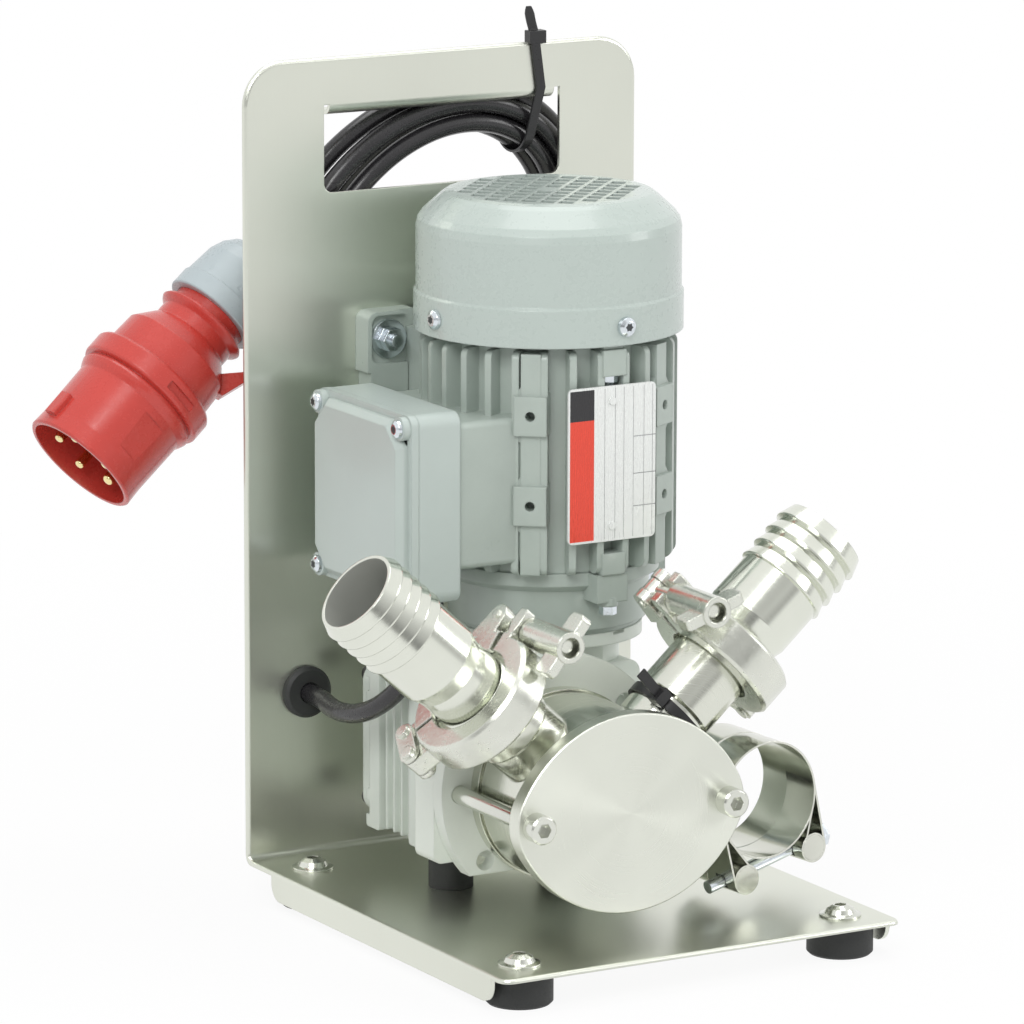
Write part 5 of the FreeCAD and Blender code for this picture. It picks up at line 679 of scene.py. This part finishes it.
@dataclass
class PowerLead:
    """Lead from the motor's gland through the back plate, coiled, and on to the plug.

    Angles are in degrees round the coil. Routes are in the back plate's frame.
    """

    diameter: float = 0.009
    edge_steps: int = 6
    run_steps: int = 8
    half_length: float = 0.078
    half_height: float = 0.056
    tilt: float = math.radians(38.0)
    bundle: float = 0.0093
    phase: float = math.radians(200.0)
    turns: int = 6
    points_per_turn: int = 20
    start_angle: float = 220.0
    end_angle: float = 0.0
    fan_angle: float = 120.0
    fan_out: float = 0.45
    rise: float = 0.0125
    rise_angle: float = 66.0
    rise_reach: float = 118.0
    loose_turn: int = 4
    sag: float = -0.0125
    sag_angle: float = 98.0
    sag_reach: float = 85.0
    centre: Vector = field(default_factory=lambda: PLATE_FRAME + Vector((0.002, 0.0175, 0.2635)))
    lead_route: Sequence[Vec3] = (
        (-0.0600, -0.0895, 0.1310), (-0.0600, -0.0895, 0.1170), (-0.0630, -0.0847, 0.1023),
        (-0.0680, -0.0756, 0.0898), (-0.0720, -0.0631, 0.0807), (-0.0745, -0.0484, 0.0759),
        (-0.0750, -0.0320, 0.0746), (-0.0725, -0.0140, 0.0767), (-0.0725, 0.0140, 0.0767),
        (-0.0710, 0.0302, 0.0820), (-0.0680, 0.0430, 0.0920), (-0.0645, 0.0520, 0.1056),
        (-0.0609, 0.0566, 0.1227), (-0.0578, 0.0555, 0.1405), (-0.0536, 0.0497, 0.1570),
        (-0.0551, 0.0409, 0.1721), (-0.0499, 0.0307, 0.1874), (-0.0377, 0.0198, 0.1991))
    plug_route: Sequence[Vec3] = (
        (0.0468, 0.0233, 0.3259), (0.0225, 0.0296, 0.3338), (-0.0039, 0.0390, 0.3240),
        (-0.0200, 0.0480, 0.3050), (-0.0385, 0.0538, 0.2930))
    plug_length: float = 0.132
    plug_straight: float = 0.016
    gland_end: float = 0.0054
    sleeve_length: float = 0.022
    sleeve_root: float = 0.0068
    sleeve_tip: float = 0.0052
    sleeve_rib: float = 0.0005
    sleeve_ribs: float = 6.0
    sleeve_rings: int = 64
    sleeve_sides: int = 24

    @staticmethod
    def swell(angle: float, middle: float, reach: float) -> float:
        """Smooth bump round the coil.

        Args:
            angle: where on the coil, in degrees.
            middle: where the bump is 1, in degrees.
            reach: how far from there it is 0, in degrees.

        Returns:
            A share from 0 to 1.
        """
        off = abs((angle - middle + 180.0) % 360.0 - 180.0)
        return 0.0 if off >= reach else 0.5 + 0.5 * math.cos(math.pi * off / reach)

    def coil_point(self, angle: float) -> Vector:
        """Point of the coil's turns.

        Args:
            angle: degrees round the coil, counted on from the first turn.

        Returns:
            The place of the lead's centreline.
        """
        turn = math.radians(angle)
        done = (angle - self.start_angle) / 360.0
        around = 2 * math.pi * done / self.turns + self.phase
        spread = 1.0 + self.fan_out * max(0.0, math.cos(turn - math.radians(self.fan_angle))) ** 2
        out = self.bundle * spread * math.cos(around)
        out += self.rise * self.swell(angle, self.rise_angle, self.rise_reach)
        if abs(angle - self.loose_turn * 360.0 - self.sag_angle) < self.sag_reach:
            out += self.sag * self.swell(angle, self.sag_angle, self.sag_reach)
        side = self.bundle * math.sin(around)
        along = (self.half_length + out) * math.cos(turn)
        up = (self.half_height + out) * math.sin(turn)
        x = along * math.cos(self.tilt) - up * math.sin(self.tilt)
        z = along * math.sin(self.tilt) + up * math.cos(self.tilt)
        return self.centre + Vector((x, side, z))

    def points(self) -> list[Vector]:
        """Lay out the whole route.

        Returns:
            The spline's points from the gland to the plug.
        """
        last = 360.0 * self.turns + self.end_angle
        count = round((last - self.start_angle) / 360.0 * self.points_per_turn)
        step = (last - self.start_angle) / count
        coil = [self.coil_point(self.start_angle + step * k) for k in range(count + 1)]
        way = PLUG_DIR.normalized()
        end = PLUG_MOUTH + way * self.plug_length
        return ([PLATE_FRAME + Vector(p) for p in self.lead_route] + coil
                + [PLATE_FRAME + Vector(p) for p in self.plug_route]
                + [end + way * self.plug_straight, end])

    def line(self, thing: bpy.types.Object) -> list[Vector]:
        """Points along the curve's own line.

        Args:
            thing: the curve object.

        Returns:
            The points in order, in metres.
        """
        depth = thing.data.bevel_depth
        thing.data.bevel_depth = 0.0
        mesh = evaluated_mesh(thing)
        places = [v.co.copy() for v in mesh.vertices]
        bpy.data.meshes.remove(mesh)
        thing.data.bevel_depth = depth
        return places

    def sleeve(self, name: str, line: Sequence[Vector], skip: float) -> bpy.types.Object:
        """Make a tapered ribbed sleeve on the first stretch of a line.

        Args:
            name: the piece's name.
            line: points along the lead, from the housing outwards.
            skip: metres of the line that lie inside the housing.

        Returns:
            The sleeve.
        """
        done, kept = 0.0, []
        for a, b in zip(line, line[1:]):
            done += (b - a).length
            if skip <= done <= skip + self.sleeve_length:
                kept.append(b)
        base = bpy.data.meshes.new(name)
        base.from_pydata(kept, [(k, k + 1) for k in range(len(kept) - 1)], [])
        graph = ShapeGraph(name, {"Root Radius": self.sleeve_root, "Tip Radius": self.sleeve_tip,
                                  "Rib Height": self.sleeve_rib, "Ribs": self.sleeve_ribs})
        curve = graph.add("MeshToCurve", {0: graph.inputs["Geometry"]}).outputs[0]
        path = graph.add("ResampleCurve", {"Curve": curve, "Count": self.sleeve_rings}).outputs[0]
        done = graph.add("SplineParameter").outputs["Factor"]
        drop = graph.math("SUBTRACT", graph.inputs["Tip Radius"], graph.inputs["Root Radius"])
        plain = graph.math("ADD", graph.inputs["Root Radius"], graph.math("MULTIPLY", drop, done))
        turn = graph.math("MULTIPLY", graph.math("MULTIPLY", done, graph.inputs["Ribs"]), 2 * math.pi)
        rib = graph.math("MULTIPLY", graph.math("SINE", turn), graph.inputs["Rib Height"])
        radius = graph.math("ADD", plain, rib)
        round_edge = graph.add("CurvePrimitiveCircle", {"Resolution": self.sleeve_sides,
                                                        "Radius": 1.0}).outputs[0]
        swept = graph.add("CurveToMesh", {"Curve": path, "Profile Curve": round_edge, "Scale": radius,
                                          "Fill Caps": True}).outputs[0]
        thing = graph.make(swept, base, RUBBER)
        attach(thing, "frame")
        return thing

    def build(self) -> bpy.types.Object:
        """Returns:
            The curve object.
        """
        data = bpy.data.curves.new("power_lead_whole", "CURVE")
        data.dimensions = "3D"
        data.bevel_depth = self.diameter / 2
        data.bevel_resolution = self.edge_steps
        data.use_fill_caps = True
        points = self.points()
        spline = data.splines.new("NURBS")
        spline.points.add(len(points) - 1)
        for point, place in zip(spline.points, points):
            point.co = (*place, 1.0)
        spline.order_u = 3
        spline.use_endpoint_u = True
        spline.resolution_u = self.run_steps
        thing = bpy.data.objects.new("power_lead_whole", data)
        bpy.context.scene.collection.objects.link(thing)
        dress(thing, SHEATH)
        line = self.line(thing)
        sleeves = [self.sleeve("gland_sleeve", line, self.gland_end),
                   self.sleeve("plug_sleeve", line[::-1], 0.0)]
        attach(thing, "frame")
        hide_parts("power_lead", "lead_coil", "plug_lead")
        return thing


def bridge(mesh: bmesh.types.BMesh, rings: Sequence[Sequence[bmesh.types.BMVert]]) -> None:
    """Join each ring of vertices to the next with faces.

    Args:
        mesh: the mesh that holds the rings.
        rings: rings of equal length, in order.
    """
    for a, b in zip(rings, rings[1:]):
        for k in range(len(a)):
            after = (k + 1) % len(a)
            mesh.faces.new((a[k], a[after], b[after], b[k]))


@dataclass
class HandleTie:
    """Nylon tie round the handle bar and the coil. Places are in the back plate's frame.

    The bar's edges and the bundle are circles (depth, height, radius) that the strap runs round.
    """

    middle: float = 0.0480
    width: float = 0.0048
    thickness: float = 0.0012
    bar_top: Vec3 = (0.0010, 0.3685, 0.00145)
    bar_low: Vec3 = (0.0010, 0.3490, 0.00145)
    bundle: Vec3 = (0.0175, 0.3325, 0.0149)
    arc_points: int = 32
    front_depth: float = 0.005
    bow: float = 0.0032
    bow_height: float = 0.350
    bow_reach: float = 0.013
    head_size: Vec3 = (0.0086, 0.0056, 0.0060)
    head_middle: Vec3 = (0.0495, 0.0010, 0.3722)
    tail_end: Vec3 = (0.0458, 0.0010, 0.3866)
    tail_bend: float = 0.0010
    tail_steps: int = 8
    taper_from: float = 0.8
    taper: float = 0.5
    edge: float = 0.00025
    edge_steps: int = 2

    def belt(self) -> list[Vector]:
        """Run the strap round the bar and the bundle.

        Returns:
            Points of its inner face in the upright plane (depth, height), in order.
        """
        spots = []
        for y, z, radius in (self.bar_top, self.bar_low, self.bundle):
            for k in range(self.arc_points):
                turn = 2 * math.pi * k / self.arc_points
                spots.append(Vector((y + radius * math.cos(turn), z + radius * math.sin(turn))))
        return [spots[k] for k in convex_hull_2d(spots)]

    def across(self, spot: Vector) -> float:
        """Place of the strap's middle across the plate, bowed in front of the bar.

        Args:
            spot: depth and height of the place.

        Returns:
            The place along the handle.
        """
        if spot.x > self.front_depth:
            return self.middle
        return self.middle + self.bow * math.exp(-((spot.y - self.bow_height) / self.bow_reach) ** 2)

    def strap(self, mesh: bmesh.types.BMesh) -> None:
        """Add the closed strap.

        Args:
            mesh: the mesh to add it to.
        """
        spots = self.belt()
        rings = []
        for k, spot in enumerate(spots):
            run = (spots[(k + 1) % len(spots)] - spots[k - 1]).normalized()
            away = Vector((run.y, -run.x)) * self.thickness
            middle = self.across(spot)
            ring = []
            for side, outer in ((-1, 0), (1, 0), (1, 1), (-1, 1)):
                flat = spot + away * outer
                place = PLATE_FRAME + Vector((middle + side * self.width / 2, flat.x, flat.y))
                ring.append(mesh.verts.new(place))
            rings.append(ring)
        bridge(mesh, rings + rings[:1])

    def tail(self, mesh: bmesh.types.BMesh) -> None:
        """Add the free end that stands up from the head.

        Args:
            mesh: the mesh to add it to.
        """
        start, end = Vector(self.head_middle), Vector(self.tail_end)
        rings = []
        for k in range(self.tail_steps + 1):
            share = k / self.tail_steps
            spot = start.lerp(end, share)
            spot.y += self.tail_bend * math.sin(math.pi * share)
            tapered = max(0.0, share - self.taper_from) / (1.0 - self.taper_from)
            half = self.width / 2 * (1.0 - self.taper * tapered)
            ring = []
            for x, y in ((-1, -1), (1, -1), (1, 1), (-1, 1)):
                place = PLATE_FRAME + spot + Vector((x * half, y * self.thickness / 2, 0))
                ring.append(mesh.verts.new(place))
            rings.append(ring)
        bridge(mesh, rings)
        mesh.faces.new(rings[0][::-1])
        mesh.faces.new(rings[-1])

    def head(self, mesh: bmesh.types.BMesh) -> None:
        """Add the block that holds the strap's end.

        Args:
            mesh: the mesh to add it to.
        """
        place = Matrix.Translation(PLATE_FRAME + Vector(self.head_middle))
        bmesh.ops.create_cube(mesh, size=1.0, matrix=place @ Matrix.Diagonal((*self.head_size, 1.0)))

    def build(self) -> bpy.types.Object:
        """Make the tie as one piece.

        Returns:
            The tie.
        """
        mesh = bmesh.new()
        self.strap(mesh)
        self.tail(mesh)
        self.head(mesh)
        bmesh.ops.recalc_face_normals(mesh, faces=mesh.faces)
        data = bpy.data.meshes.new("handle_tie_strap")
        mesh.to_mesh(data)
        mesh.free()
        thing = bpy.data.objects.new("handle_tie_strap", data)
        bpy.context.scene.collection.objects.link(thing)
        bevel = thing.modifiers.new("edges", "BEVEL")
        bevel.width = self.edge
        bevel.segments = self.edge_steps
        bevel.limit_method = "ANGLE"
        dress(thing, NYLON)
        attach(thing, "frame")
        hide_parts("handle_tie")
        return thing


@dataclass
class StarRecesses:
    """Six-lobed recesses in the pan-head screws of the fan cover and of the box's cover."""

    outer: float = 0.0021
    inner: float = 0.00145
    depth: float = 0.00006
    lobes: int = 6
    box_face: float = -0.0616
    box_middle: float = 0.197
    box_half: float = 0.0376
    band_face: float = 0.0643
    band_height: float = 0.2755
    band_angles: Sequence[float] = (-86.0, 4.0, 184.0)

    def heads(self) -> list[tuple[Vector, Vector]]:
        """Find the screw heads.

        Returns:
            The middle of each head's face, with the way it looks.
        """
        places = []
        for angle in map(math.radians, self.band_angles):
            way = Vector((math.cos(angle), math.sin(angle), 0.0))
            places.append((MOTOR_AXIS + way * self.band_face + Vector((0, 0, self.band_height)), way))
        for y in (-self.box_half, self.box_half):
            for z in (-self.box_half, self.box_half):
                middle = Vector((self.box_face, MOTOR_AXIS.y + y, self.box_middle + z))
                places.append((middle, Vector((-1, 0, 0))))
        return places

    def build(self) -> bpy.types.Object:
        """Make all recesses as one piece.

        Returns:
            The piece.
        """
        heads = self.heads()
        base = bpy.data.meshes.new("screw_recesses")
        base.from_pydata([place for place, _ in heads], [], [])
        ways = base.attributes.new("way", "FLOAT_VECTOR", "POINT")
        ways.data.foreach_set("vector", [c for _, way in heads for c in way])
        graph = ShapeGraph("screw_recesses", {"Outer Radius": self.outer, "Inner Radius": self.inner,
                                              "Thickness": self.depth})
        star = graph.add("CurveStar", {"Points": self.lobes, "Inner Radius": graph.inputs["Inner Radius"],
                                       "Outer Radius": graph.inputs["Outer Radius"]}).outputs[0]
        flat = graph.add("FillCurve", {0: star}).outputs[0]
        thick = graph.add("ExtrudeMesh", {"Mesh": flat,
                                          "Offset Scale": graph.inputs["Thickness"]}).outputs[0]
        way = graph.add("InputNamedAttribute", {"Name": "way"}, data_type="FLOAT_VECTOR").outputs[0]
        turn = graph.add("FunctionNodeAlignRotationToVector", {"Vector": way}, axis="Z").outputs[0]
        spread = graph.add("InstanceOnPoints", {"Points": graph.inputs["Geometry"], "Instance": thick,
                                                "Rotation": turn}).outputs[0]
        thing = graph.make(spread, base, RECESS)
        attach(thing, "frame")
        return thing


def dress_solids(record: dict) -> None:
    """Give every carried-over solid the finish of its slot or its own.

    Args:
        record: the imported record.
    """
    for entry in record["subparts"]:
        node = entry["node"]
        finish = FINISH_OF_NODE.get(node, FINISH_OF_SLOT[entry["material_slot"]])
        dress(frame["nodes"][node], finish)
    LOG.info("dressed %d solids", len(record["subparts"]))


def main() -> None:
    """Build the scene in order."""
    logging.basicConfig(level=logging.INFO, format="%(name)s: %(message)s")
    Studio().build()
    PowerLead().build()
    HandleTie().build()
    StarRecesses().build()
    dress_solids(frame["record"])


if __name__ == "__main__":
    main()
